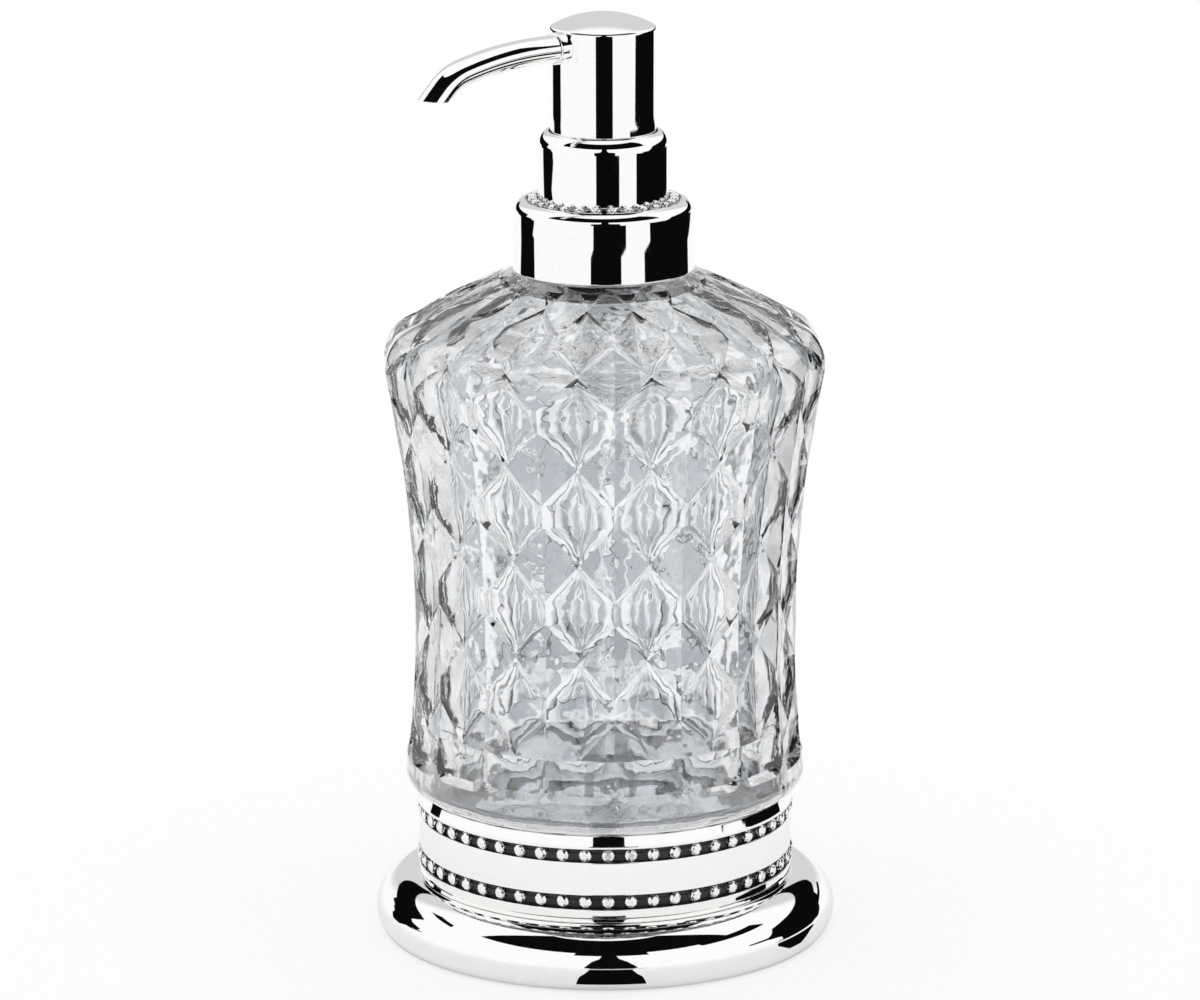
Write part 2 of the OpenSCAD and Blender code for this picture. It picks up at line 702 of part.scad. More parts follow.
module pump_housing() {
    flange_r = flange_d / 2;
    low_r = tube_r + barrel_wall;
    socket_z = tube_top - tube_socket_h;
    color("whitesmoke") difference() {
        rotate_extrude() polygon([
            [tube_r + seat_gap, socket_z], [low_r, socket_z], [low_r, spring_z - cage_t - 5],
            [barrel_out_r, spring_z - cage_t - 3], [barrel_out_r, flange_z], [flange_r, flange_z],
            [flange_r, flange_z + flange_t], [housing_neck_r, flange_z + flange_t],
            [housing_neck_r, housing_top], [barrel_r, housing_top], [barrel_r, spring_z],
            [ball_r - 0.4, spring_z], [ball_r - 0.4, spring_z - cage_t], [chamber_r, spring_z - cage_t],
            [chamber_r, cone_z + seat_cone_h], [ball_seat_r, cone_z - 0.1], [ball_seat_r, tube_top],
            [tube_r + seat_gap, tube_top]
        ]);
        for (i = [0:2]) rotate([0, 0, 120 * i])
            translate([0, -0.6, spring_z - cage_t - eps]) cube([chamber_r, 1.2, cage_t + 2 * eps]);
    }
}

module stem_retainer() {
    plug_out_r = barrel_r - seat_gap;
    color("white") rotate_extrude() polygon([
        [stem_r + running_fit, plug_z], [plug_out_r, plug_z], [plug_out_r, housing_top],
        [retainer_d / 2, housing_top], [retainer_d / 2, retainer_top], [tower_d / 2, retainer_top],
        [tower_d / 2 - 0.3, tower_top - 0.5], [tower_d / 2 - 0.8, tower_top],
        [stem_r + running_fit + 0.4, tower_top], [stem_r + running_fit, tower_top - 0.4]
    ]);
}

// The return spring: one wire swept round a helix whose end turns lie flat
spring_sides = 6;
spring_steps = 14;
coil_r = barrel_r - 0.8 - wire_d / 2;
function coil_share(t) = let (f = 1 / spring_turns) t < f ? 0.35 * t : t > 1 - f ? 1 - 0.35 * (1 - t) :
    0.35 * f + (1 - 0.7 * f) * (t - f) / (1 - 2 * f);
module return_spring() {
    z0 = spring_z + wire_d / 2 + seat_gap;
    z1 = rod_z - wire_d / 2 - seat_gap;
    n = spring_turns * spring_steps;
    points = [for (i = [0:n], k = [0:spring_sides - 1])
        let (a = 360 * i / spring_steps, b = 360 * k / spring_sides)
        let (r = coil_r + wire_d / 2 * cos(b))
        [r * cos(a), r * sin(a), z0 + (z1 - z0) * coil_share(i / n) + wire_d / 2 * sin(b)]];
    sides = [for (i = [0:n - 1], k = [0:spring_sides - 1])
        let (a = i * spring_sides + k, b = i * spring_sides + (k + 1) % spring_sides)
        each [[a, b, b + spring_sides], [a, b + spring_sides, a + spring_sides]]];
    ends = [for (k = [1:spring_sides - 2])
        each [[0, k + 1, k], [n * spring_sides, n * spring_sides + k, n * spring_sides + k + 1]]];
    color("lightsteelblue") polyhedron(points = points, faces = concat(sides, ends));
}

module dip_tube() {
    color([0.93, 0.93, 0.9]) difference() {
        translate([0, 0, tube_tip]) cylinder(r = tube_r, h = tube_top - tube_tip);
        translate([0, 0, tube_tip - eps]) cylinder(r = tube_r - tube_wall, h = tube_top - tube_tip + 1);
        translate([0, 0, tube_tip]) rotate([0, tube_tip_angle, 0])
            translate([-tube_d, -tube_d, -2 * tube_d]) cube(2 * tube_d);
    }
}

module check_ball() {
    color("lightgray") translate([0, 0, ball_z]) sphere(r = ball_r);
}

module piston() {
    lip_r = barrel_r - running_fit;
    spigot_r = stem_r - 0.8;
    in_r = spigot_r + running_fit;
    color("ivory") rotate_extrude() polygon([
        [in_r, piston_z], [lip_r - 0.5, piston_z], [lip_r, piston_z + 0.3], [lip_r, piston_z + piston_lip_h],
        [lip_r - 0.7, piston_z + piston_lip_h + 0.6], [lip_r - 0.7, piston_top - piston_lip_h - 0.6],
        [lip_r, piston_top - piston_lip_h], [lip_r, piston_top - 0.3], [lip_r - 0.5, piston_top],
        [in_r, piston_top]
    ]);
}

module piston_rod() {
    spigot_r = stem_bore_r - running_fit;
    color("whitesmoke") difference() {
        union() {
            translate([0, 0, rod_z]) cylinder(r = coil_r + wire_d / 2, h = rod_t);
            translate([0, 0, rod_z - 4]) cylinder(r = coil_r - wire_d / 2 - 0.5, h = 4 + eps);
            translate([0, 0, rod_z]) cylinder(r = spigot_r, h = rod_t + piston_h + 1);
        }
        for (a = [0, 90]) rotate([0, 0, a])
            translate([-0.4, spigot_r - 0.6, rod_z + rod_t]) cube([0.8, 1, piston_h + 2]);
        for (a = [0:90:270]) rotate([0, 0, a])
            translate([coil_r - wire_d / 2, -0.6, rod_z - eps]) cube([2, 1.2, rod_t + 2 * eps]);
    }
}

module stem() {
    spigot_r = stem_r - 0.8;
    color("white") rotate_extrude() polygon([
        [stem_bore_r, piston_z + 0.2], [spigot_r, piston_z + 0.2], [spigot_r, piston_top + 0.1],
        [stem_r, piston_top + 0.1], [stem_r, stem_top - 0.4], [stem_r - 0.4, stem_top],
        [stem_bore_r, stem_top]
    ]);
}

// ---------- head and spout ----------

// A line from the head out along -Y at the spout's height, as the axis of what follows
module on_spout_axis() {
    translate([0, 0, spout_z]) rotate([90, 0, 0]) children();
}

// Stations along the spout's axis, as [reach, height, downward slope in degrees]
spout_steps = 7;
long_end = [
    spout_straight_r + spout_long_r * sin(spout_long_angle),
    spout_z - spout_long_r * (1 - cos(spout_long_angle))
];
tip_a = spout_long_angle + spout_tip_angle;
tip_end = long_end + spout_tip_r * [sin(tip_a) - sin(spout_long_angle), cos(tip_a) - cos(spout_long_angle)];
function spout_stations(start_r, tip_l) = concat(
    [[start_r, spout_z, 0]],
    [for (i = [0:spout_steps - 1])
        let (a = spout_long_angle * i / spout_steps)
        [spout_straight_r + spout_long_r * sin(a), spout_z - spout_long_r * (1 - cos(a)), a]],
    [for (i = [0:spout_steps])
        let (a = spout_long_angle + spout_tip_angle * i / spout_steps)
        [long_end[0] + spout_tip_r * (sin(a) - sin(spout_long_angle)),
            long_end[1] + spout_tip_r * (cos(a) - cos(spout_long_angle)), a]],
    [[tip_end[0] + tip_l * cos(tip_a), tip_end[1] - tip_l * sin(tip_a), tip_a]]
);

// One ring of a swept tube; lean slants the ring's plane towards the way ahead
function tube_ring(st, r, n, lean) = [
    for (k = [0:n - 1])
        let (a = 360 * (k + 0.5) / n)
        let (up = r * sin(a))
        let (ahead = up * lean)
        let (reach = st[0] + up * sin(st[2]) + ahead * cos(st[2]))
        [r * cos(a), -reach, st[1] + up * cos(st[2]) - ahead * sin(st[2])]
];

// A tube of outer radius r and bore radius b swept along the stations, with a slanted end
module swept_tube(stations, r, b, n) {
    m = len(stations);
    lean = tan(90 - tip_a - spout_cut_angle);
    points = [for (wall = [r, b], i = [0:m - 1]) each tube_ring(stations[i], wall, n, i == m - 1 ? lean : 0)];
    inner = m * n;
    last = (m - 1) * n;
    faces = [
        for (k = [0:n - 1])
            let (j = (k + 1) % n)
            each concat(
                [for (i = [0:m - 2])
                    let (q = i * n)
                    each [[q + k, q + n + j, q + j], [q + k, q + n + k, q + n + j]]],
                [for (i = [0:m - 2])
                    let (q = inner + i * n)
                    each [[q + k, q + j, q + n + j], [q + k, q + n + j, q + n + k]]],
                [[k, j, inner + j], [k, inner + j, inner + k]],
                [[last + k, inner + last + j, last + j], [last + k, inner + last + k, inner + last + j]]
            )
    ];
    polyhedron(points = points, faces = faces);
}

module head_shell() {
    edge_c = [head_r - head_edge_r, head_edge_z - head_edge_r];
    sweep = asin(edge_c[0] / (dome_r - head_edge_r));
    dome_c = edge_c[1] - (dome_r - head_edge_r) * cos(sweep);
    inner_r = dome_r - head_wall;
    inner_a = asin(head_in_r / inner_r);
    color("silver") difference() {
        rotate_extrude() polygon(concat(
            [[head_in_r, head_z], [head_r - 0.15, head_z], [head_r, head_z + 0.15]],
            arc(edge_c, head_edge_r, 0, 90 - sweep, 5),
            arc([0, dome_c], dome_r, 90 - sweep + 3, 90, 10),
            arc([0, dome_c], inner_r, 90, 90 - inner_a, 8)
        ));
        on_spout_axis() cylinder(r = spout_r + seat_gap, h = head_r + 2);
    }
}

module actuator_core() {
    hub_r = hub_d / 2;
    color("white") difference() {
        union() {
            translate([0, 0, core_z]) cylinder(r = hub_r, h = core_top - core_z);
            translate([0, 0, core_top - 2]) cylinder(r = head_in_r - seat_gap, h = 2);
            for (i = [0:core_ribs - 1]) rotate([0, 0, 360 * (i + 0.5) / core_ribs])
                translate([0, -core_rib_t / 2, core_z])
                    cube([head_in_r - seat_gap - 0.1, core_rib_t, core_top - core_z - 1]);
        }
        translate([0, 0, core_z - eps]) cylinder(r = stem_r + seat_gap, h = socket_h + seat_gap + eps);
        translate([0, 0, core_z]) cylinder(r = stem_bore_r, h = spout_z - core_z);
        on_spout_axis() translate([0, 0, spout_root_r - seat_gap])
            cylinder(r = spout_r + seat_gap, h = hub_d);
        on_spout_axis() cylinder(r = liner_in_r, h = hub_r);
    }
}

module spout_tube() {
    stations = spout_stations(spout_root_r, spout_tip_l);
    color("silver") swept_tube(stations, spout_r, spout_in_r, 24);
}

module spout_liner() {
    stations = spout_stations(spout_root_r, spout_tip_l - liner_inset);
    color("white") swept_tube(stations, liner_r, liner_in_r, 16);
}

module spout_ferrule() {
    root = sqrt(head_r * head_r - ferrule_r * ferrule_r);
    length = head_r - root + ferrule_l;
    edge_r = ferrule_t * 0.8;
    color("silver") difference() {
        on_spout_axis() translate([0, 0, root]) rotate_extrude() polygon(concat(
            [[spout_r + seat_gap, 0], [ferrule_r, 0]],
            arc([ferrule_r - edge_r, length - ferrule_t], edge_r, 0, 90, 4),
            [[spout_r + seat_gap, length - ferrule_t + edge_r]]
        ));
        translate([0, 0, head_z]) cylinder(r = head_r + seat_gap, h = head_h);
    }
}

foot_flange();
foot_pad();
holder_ring();
upper_cup_chain();
upper_crystals();
lower_cup_chain();
lower_crystals();
seat_pad();
glass_bottle();
neck_gasket();
pump_housing();
stem_retainer();
return_spring();
dip_tube();
check_ball();
screw_cap();
collar_shell();
collar_cup_chain();
collar_crystals();
guide_collar();
piston();
piston_rod();
stem();
head_shell();
actuator_core();
spout_tube();
spout_liner();
spout_ferrule();
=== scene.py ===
"""Looks of a soap pump dispenser: a diamond-cut glass bottle in a plated holder.

Profiles are written in millimetres as (radius, height) and turned round the Z axis. Places
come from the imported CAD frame. The stage at the end is the white studio that the photograph
shows mirrored in the metal: black cards all round, paper below and the camera.
"""

import math

import bmesh
import bpy
import numpy as np
from mathutils import Matrix, Vector


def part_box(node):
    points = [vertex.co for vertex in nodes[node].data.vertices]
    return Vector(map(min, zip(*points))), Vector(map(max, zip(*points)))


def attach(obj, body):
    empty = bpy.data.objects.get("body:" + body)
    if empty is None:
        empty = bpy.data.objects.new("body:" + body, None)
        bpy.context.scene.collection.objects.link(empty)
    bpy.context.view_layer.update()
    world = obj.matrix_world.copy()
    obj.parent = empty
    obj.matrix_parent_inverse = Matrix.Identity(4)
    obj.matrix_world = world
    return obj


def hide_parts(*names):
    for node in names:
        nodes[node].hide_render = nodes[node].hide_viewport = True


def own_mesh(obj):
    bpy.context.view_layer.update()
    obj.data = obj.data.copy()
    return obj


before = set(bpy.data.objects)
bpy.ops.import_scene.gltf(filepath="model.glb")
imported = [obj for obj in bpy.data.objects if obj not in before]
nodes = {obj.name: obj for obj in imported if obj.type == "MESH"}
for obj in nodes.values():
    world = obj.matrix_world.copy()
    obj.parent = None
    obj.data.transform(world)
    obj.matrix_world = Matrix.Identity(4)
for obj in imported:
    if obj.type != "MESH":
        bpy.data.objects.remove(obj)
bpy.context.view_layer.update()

MM = 0.001


def low(node):
    """Lowest corner of a CAD node in millimetres."""
    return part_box(node)[0] / MM


def high(node):
    """Highest corner of a CAD node in millimetres."""
    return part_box(node)[1] / MM


def middle(node):
    """Middle of a CAD node's box in millimetres."""
    return (low(node) + high(node)) / 2


# ---------- sizes ----------

TURN_STEPS = 256

# Foot
FOOT_R = high("foot_flange").x
FOOT_H = low("holder_ring").z
FOOT_RIM_R = 6.5
FOOT_CROWN_R = 10.0
FOOT_CROWN_ANGLE = 30.0
FOOT_SLOPE = 10.0
FOOT_WALL = 2.2
PAD_R = high("foot_pad").x + 0.03
PAD_T = high("foot_pad").z
RIM_LOW = low("foot_flange").z

# Holder ring
RING_LIP = 0.4
LIP_R = high("holder_ring").x
RING_R = LIP_R - RING_LIP
RING_IN_R = RING_R - 2.9
RING_TOP = high("holder_ring").z
RIM_H = 2.1
RIM_IN = 0.6
GROOVE_H = 3.0
GROOVE_DEPTH = 0.9
LOWER_ROW_Z = middle("lower_crystals").z
UPPER_ROW_Z = middle("upper_crystals").z

# Stones
ROW_STONES = 52
ROW_STONE_D = 2.65
COLLAR_STONES = 28
COLLAR_STONE_D = 2.1
CUP_WALL = 0.12
CUP_H = 0.8
CROWN_H = 0.5
PRONG_H = 0.26
PRONG_FOLD = 0.22
LINK_T = 0.3
ROW_LINK_W = 0.7
COLLAR_LINK_W = 0.6
SEAT_GAP = 0.03

# Bottle
BOTTLE_Z = low("glass_bottle").z
RIM_Z = high("glass_bottle").z
WAIST_R = 41.6
WAIST_Z = BOTTLE_Z + 52.7
BODY_ARC = 278.0
CORNER_Z = BOTTLE_Z + 111.7
CORNER_R = 9.8
SHOULDER_SLOPE = 30.0
SHOULDER_ARC = 196.0
PLAIN_Z = BOTTLE_Z + 22.0
PLAIN_R = 4.3
GLASS_WALL = 4.8
CAVITY_Z = BOTTLE_Z + 9.0
CAVITY_ROUND = 8.0
PUNT_H = 1.5
PLUG_R = RING_IN_R - 0.3
PLUG_ROUND = 1.2
NECK_R = 13.1
NECK_ROOT_R = 12.4
THREAD_PITCH = 3.2
BORE_R = 10.5

# Cut pattern
PANELS = 18
CUT_TURN = 3.8
ROW_PITCH = 21.2
FIRST_NODE_Z = BOTTLE_Z + 34.6
POINT_H = 8.0
NODE_DEPTH = 0.9
RIDGE_DEPTH = 0.2
SCOOP_DEPTH = 1.45
SHOULDER_EASE = 0.5
EASE_START_R = 41.0
EASE_END_R = 35.0
RUN_OUT = 1.4
CUT_START = -POINT_H - RUN_OUT
CUT_END_R = 22.0
PANEL_STEPS = 24
PANEL_CORNER = 0.45
PANEL_CORNER_H = 4.0
FAN_H = 6.0
PANEL_LINE_H = 0.3

# Collar and guide
COLLAR_R = high("collar_shell").x
SHELL_Z = low("collar_shell").z
SHELL_TOP_R = COLLAR_R - 0.35
SHELL_WALL = 0.7
COLLAR_ROUND = 2.3
COLLAR_LIP_Z = high("collar_shell").z
COLLAR_LIP_R = SHELL_TOP_R - COLLAR_ROUND - 0.1
GUIDE_R = high("guide_collar").x
GUIDE_Z = low("guide_collar").z
GUIDE_TOP = high("guide_collar").z
GUIDE_ROUND_H = 3.0
GUIDE_WALL = 1.2
CAP_TOP = high("screw_cap").z
STONE_TRACK_R = (GUIDE_R + COLLAR_LIP_R - 0.1) / 2

# Head and spout
HEAD_R = high("head_shell").x
HEAD_Z = low("head_shell").z
HEAD_WALL = 1.0
HEAD_EDGE_R = 0.8
DOME_H = 3.0
DOME_R = (HEAD_R**2 + DOME_H**2) / (2 * DOME_H)
DOME_SWEEP = math.asin((HEAD_R - HEAD_EDGE_R) / (DOME_R - HEAD_EDGE_R))
HEAD_EDGE_Z = high("head_shell").z - (DOME_R - HEAD_EDGE_R) * (1 - math.cos(DOME_SWEEP))
SPOUT_Z = middle("spout_ferrule").z
SPOUT_R = high("spout_tube").x
SPOUT_WALL = 0.7
SPOUT_ROOT = -high("spout_tube").y
SPOUT_STRAIGHT = 17.7
SPOUT_LONG_R = 83.0
SPOUT_LONG_ANGLE = 13.8
SPOUT_TIP_R = 11.2
SPOUT_TIP_ANGLE = 31.6
SPOUT_TIP_L = 3.0
SPOUT_CUT_ANGLE = 6.0
SPOUT_EDGE = 0.12
LINER_WALL = 0.6
LINER_INSET = 0.8
FERRULE_R = high("spout_ferrule").x
FERRULE_L = 2.2
FERRULE_ROUND = 0.36


# ---------- mesh helpers ----------


def arc(cx, cz, r, a0, a1, n=16):
    """Points of an arc from angle a0 to a1 in degrees."""
    turns = np.radians(np.linspace(a0, a1, n + 1))
    return [(cx + r * math.cos(t), cz + r * math.sin(t)) for t in turns]


def supported(profile, near=0.12):
    """Adds points near the ends of long edges, so that smooth shading stays flat between."""
    out = []
    count = len(profile)
    for i, p in enumerate(profile):
        q = profile[(i + 1) % count]
        out.append(p)
        length = math.dist(p, q)
        if length > 5 * near:
            for share in (near / length, 1 - near / length):
                out.append((p[0] + (q[0] - p[0]) * share, p[1] + (q[1] - p[1]) * share))
    return out


def smooth(mesh, sharp):
    """Smooth shading, with edges left sharp above an angle in degrees."""
    mesh.shade_smooth()
    mesh.set_sharp_from_angle(angle=math.radians(sharp))


def add_object(name, data):
    """An object in the scene from a mesh or a camera."""
    obj = bpy.data.objects.new(name, data)
    bpy.context.scene.collection.objects.link(obj)
    return obj


def make_object(name, verts, faces, sharp=30.0, picks=None):
    """A smooth-shaded mesh object; verts are in millimetres."""
    mesh = bpy.data.meshes.new(name)
    mesh.from_pydata((np.asarray(verts, float) * MM).tolist(), [], faces)
    if picks is not None:
        mesh.polygons.foreach_set("material_index", picks)
    smooth(mesh, sharp)
    return add_object(name, mesh)


def face_out(obj):
    """Turns all faces of a closed mesh outwards."""
    edit = bmesh.new()
    edit.from_mesh(obj.data)
    bmesh.ops.recalc_face_normals(edit, faces=edit.faces)
    edit.to_mesh(obj.data)
    edit.free()
    return obj


def lathe(name, profile, steps=TURN_STEPS, sharp=30.0, pick=None):
    """Turns a closed profile round the Z axis. pick gives a face's material index from (r, z)."""
    profile = supported(profile)
    turns = 2 * math.pi * np.arange(steps) / steps
    verts, rings = [], []
    for r, z in profile:
        if r < 1e-6:
            rings.append([len(verts)] * steps)
            verts.append((0.0, 0.0, z))
        else:
            rings.append(list(range(len(verts), len(verts) + steps)))
            verts.extend((r * math.cos(t), r * math.sin(t), z) for t in turns)
    faces, picks = [], []
    for i, ring in enumerate(rings):
        after = rings[(i + 1) % len(rings)]
        if ring[0] == ring[1] and after[0] == after[1]:
            continue
        (r0, z0), (r1, z1) = profile[i], profile[(i + 1) % len(profile)]
        index = pick((r0 + r1) / 2, (z0 + z1) / 2) if pick else 0
        for k in range(steps):
            m = (k + 1) % steps
            face = list(dict.fromkeys((ring[k], ring[m], after[m], after[k])))
            faces.append(face)
            picks.append(index)
    return face_out(make_object(name, verts, faces, sharp, picks))


def spread(name, shape, places, sharp=30.0):
    """Copies of one shape (verts, faces) at places (origin, across, up, out), as one object."""
    base, base_faces = shape
    base = np.asarray(base, float)
    verts, faces = [], []
    for origin, across, up, out in places:
        start = len(verts) * len(base)
        axes = np.array([across, up, out])
        verts.append(base @ axes + np.array(origin))
        faces.extend([start + v for v in face] for face in base_faces)
    return make_object(name, np.concatenate(verts), faces, sharp)


def turned(profile, sides):
    """Verts and faces of a profile turned round its own axis, on which it starts and ends."""
    verts = [(0.0, 0.0, profile[0][1])]
    for r, z in profile[1:-1]:
        for k in range(sides):
            t = 2 * math.pi * k / sides
            verts.append((r * math.cos(t), r * math.sin(t), z))
    verts.append((0.0, 0.0, profile[-1][1]))
    faces = []
    last = len(verts) - 1
    rows = len(profile) - 2
    for k in range(sides):
        m = (k + 1) % sides
        faces.append([0, 1 + m, 1 + k])
        for i in range(rows - 1):
            a, b = 1 + i * sides, 1 + (i + 1) * sides
            faces.append([a + k, a + m, b + m, b + k])
        top = 1 + (rows - 1) * sides
        faces.append([top + k, top + m, last])
    return verts, faces


def loop_tube(name, rings):
    """A closed tube through rings of equal count, whose last ring joins its first."""
    count, sides = len(rings), len(rings[0])
    faces = []
    for i in range(count):
        a, b = i * sides, (i + 1) % count * sides
        for k in range(sides):
            m = (k + 1) % sides
            faces.append([a + k, a + m, b + m, b + k])
    return face_out(make_object(name, np.concatenate(rings), faces, 40.0))


# ---------- materials ----------

# Most of a noise's values lie between these, so colours and ranges are spread over them
NOISE_LOW, NOISE_HIGH = 0.3, 0.7
TINT_LOW, TINT_HIGH = 0.35, 0.65
BUMP_STRENGTH = 0.5


def new_material(name):
    """A material with a Principled shader; returns the material, its node tree and the shader."""
    mat = bpy.data.materials.new(name)
    mat.use_nodes = True
    return mat, mat.node_tree, mat.node_tree.nodes["Principled BSDF"]


def add_noise(tree, scale, detail):
    """A noise value in object coordinates; scale counts waves per metre."""
    coords = tree.nodes.new("ShaderNodeTexCoord")
    noise = tree.nodes.new("ShaderNodeTexNoise")
    noise.inputs["Scale"].default_value = scale
    noise.inputs["Detail"].default_value = detail
    tree.links.new(coords.outputs["Object"], noise.inputs["Vector"])
    return noise.outputs["Fac"]


def add_range(tree, source, low_value, high_value):
    """Spreads the middle of a noise value over low_value to high_value."""
    node = tree.nodes.new("ShaderNodeMapRange")
    node.inputs["From Min"].default_value = NOISE_LOW
    node.inputs["From Max"].default_value = NOISE_HIGH
    node.inputs["To Min"].default_value = low_value
    node.inputs["To Max"].default_value = high_value
    tree.links.new(source, node.inputs["Value"])
    return node.outputs["Result"]


def add_tint(tree, source, dark, light):
    """A colour that runs between two colours with a noise value."""
    ramp = tree.nodes.new("ShaderNodeValToRGB")
    ends = ((TINT_LOW, dark), (TINT_HIGH, light))
    for element, (position, colour) in zip(ramp.color_ramp.elements, ends):
        element.position = position
        element.color = (*colour, 1)
    tree.links.new(source, ramp.inputs["Fac"])
    return ramp.outputs["Color"]


def add_bump(tree, source, distance):
    """A bump from a height source; distance is in metres."""
    bump = tree.nodes.new("ShaderNodeBump")
    bump.inputs["Distance"].default_value = distance
    bump.inputs["Strength"].default_value = BUMP_STRENGTH
    tree.links.new(source, bump.inputs["Height"])
    return bump.outputs["Normal"]


def add_drift(tree, shader, wave, detail, dark, light, rough):
    """Colour and roughness that drift over the surface; returns the noise they follow."""
    noise = add_noise(tree, wave, detail)
    tree.links.new(add_tint(tree, noise, dark, light), shader.inputs["Base Color"])
    tree.links.new(add_range(tree, noise, *rough), shader.inputs["Roughness"])
    return noise


def metal(name, dark, light, rough, wave=900.0, bump=0.0):
    """Plated or bare metal, with a fine bump where it is given."""
    mat, tree, shader = new_material(name)
    shader.inputs["Metallic"].default_value = 1.0
    add_drift(tree, shader, wave, 4.0, dark, light, rough)
    if bump:
        fine = add_noise(tree, wave * 6, 2.0)
        tree.links.new(add_bump(tree, fine, bump), shader.inputs["Normal"])
    return mat


def plastic(name, dark, light, rough, wave=500.0, subsurface=0.0, bump=0.00002):
    """Moulded plastic, foam or rubber with a fine uneven skin."""
    mat, tree, shader = new_material(name)
    shader.inputs["Subsurface Weight"].default_value = subsurface
    shader.inputs["Subsurface Radius"].default_value = (0.004, 0.003, 0.0025)
    shader.inputs["Subsurface Scale"].default_value = 1.0
    noise = add_drift(tree, shader, wave, 5.0, dark, light, rough)
    tree.links.new(add_bump(tree, noise, bump), shader.inputs["Normal"])
    return mat


def clear(name, dark, light, rough, ior, haze, coat=0.0, bump=0.00004, wave=120.0):
    """Glass or clear plastic, slightly wavy; haze is its milky share."""
    mat, tree, shader = new_material(name)
    shader.inputs["Transmission Weight"].default_value = 1.0 - haze
    shader.inputs["IOR"].default_value = ior
    shader.inputs["Coat Weight"].default_value = coat
    shader.inputs["Coat Roughness"].default_value = 0.01
    noise = add_drift(tree, shader, wave, 2.0, dark, light, rough)
    normal = add_bump(tree, noise, bump)
    tree.links.new(normal, shader.inputs["Normal"])
    tree.links.new(normal, shader.inputs["Coat Normal"])
    return mat


# Each material: name, darker and lighter colour, range of roughness
chrome = metal(
    "chrome", (0.965, 0.965, 0.955), (0.985, 0.985, 0.975), (0.015, 0.04), bump=0.0000004
)
# Black on the floors of the grooves behind the stones and on the links between the cups
groove_black = plastic(
    "groove_and_link_black", (0.004, 0.004, 0.005), (0.012, 0.012, 0.013), (0.25, 0.4)
)
cup_metal = metal("cup_metal", (0.80, 0.80, 0.79), (0.92, 0.92, 0.91), (0.05, 0.12))
crystal = metal("foiled_crystal", (0.90, 0.90, 0.89), (0.97, 0.97, 0.96), (0.12, 0.22), 2500.0)
cut_glass = clear(
    "cut_glass",
    (0.955, 0.97, 0.985),
    (0.985, 0.99, 0.995),
    (0.015, 0.03),
    ior=1.5,
    haze=0.01,
    coat=1.0,
    bump=0.0008,
    wave=140.0,
)
base_foil = metal("base_foil", (0.90, 0.92, 0.94), (0.96, 0.97, 0.98), (0.1, 0.25), 300.0)
rubber = plastic("pad_rubber", (0.02, 0.02, 0.022), (0.05, 0.05, 0.055), (0.6, 0.8), 1500.0)
seat_foam = plastic(
    "seat_foam", (0.82, 0.83, 0.84), (0.9, 0.9, 0.9), (0.8, 0.95), 2500.0, bump=0.0001
)
gasket_foam = plastic(
    "gasket_foam", (0.78, 0.78, 0.75), (0.88, 0.88, 0.86), (0.7, 0.9), 3000.0, bump=0.0001
)
white_plastic = plastic(
    "white_plastic", (0.80, 0.80, 0.78), (0.88, 0.88, 0.87), (0.25, 0.4), subsurface=0.1
)
natural_plastic = clear(
    "natural_plastic", (0.94, 0.95, 0.95), (0.98, 0.98, 0.98), (0.02, 0.06), ior=1.12, haze=0.05
)
piston_plastic = plastic("piston_plastic", (0.76, 0.74, 0.66), (0.86, 0.84, 0.78), (0.3, 0.45))
tube_plastic = clear(
    "tube_plastic", (0.94, 0.95, 0.96), (0.98, 0.98, 0.99), (0.02, 0.06), ior=1.15, haze=0.04
)
spring_steel = metal("spring_steel", (0.60, 0.61, 0.63), (0.74, 0.75, 0.77), (0.18, 0.32), 2500.0)
ball_steel = metal("ball_steel", (0.72, 0.73, 0.74), (0.84, 0.85, 0.86), (0.06, 0.14))


def finish_piece(obj, body, slot, materials, *replaced):
    """Gives a piece its materials and body, and hides the CAD nodes it stands for; its slot is not
    used.
    """
    for mat in materials:
        obj.data.materials.append(mat)
    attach(obj, body)
    if replaced:
        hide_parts(*replaced)
    return obj


# ---------- foot and holder ----------


def foot_profile():
    """Outline of the foot: rounded rim, crown, slope, flat seat and the hollow for the pad."""
    crown, slope = math.radians(FOOT_CROWN_ANGLE), math.radians(FOOT_SLOPE)
    reach = FOOT_RIM_R - FOOT_CROWN_R
    step_r = LIP_R + 0.3
    crown_x = FOOT_R - FOOT_RIM_R + reach * math.cos(crown)
    crown_end = crown_x + FOOT_CROWN_R * math.sin(slope)
    crown_z = FOOT_H - FOOT_CROWN_R * math.cos(slope)
    crown_z -= max(0.0, crown_end - step_r) * math.tan(slope)
    rim_c = (crown_x - reach * math.cos(crown), crown_z - reach * math.sin(crown))
    low_angle = -math.degrees(math.asin((rim_c[1] - RIM_LOW) / FOOT_RIM_R))
    under = FOOT_H - FOOT_WALL
    chamfer, edge = 2.0, 0.3
    ledge_r = PAD_R - 3.0
    return (
        arc(*rim_c, FOOT_RIM_R, low_angle, FOOT_CROWN_ANGLE, 30)
        + arc(crown_x, crown_z, FOOT_CROWN_R, FOOT_CROWN_ANGLE, 90 - FOOT_SLOPE, 24)[1:]
        + [(min(step_r, crown_end - 0.2), FOOT_H), (0.0, FOOT_H), (0.0, under)]
        + [(ledge_r - chamfer, under), (ledge_r, under - chamfer), (ledge_r, PAD_T)]
        + [(PAD_R, PAD_T), (PAD_R, RIM_LOW + edge), (PAD_R + edge, RIM_LOW)]
    )


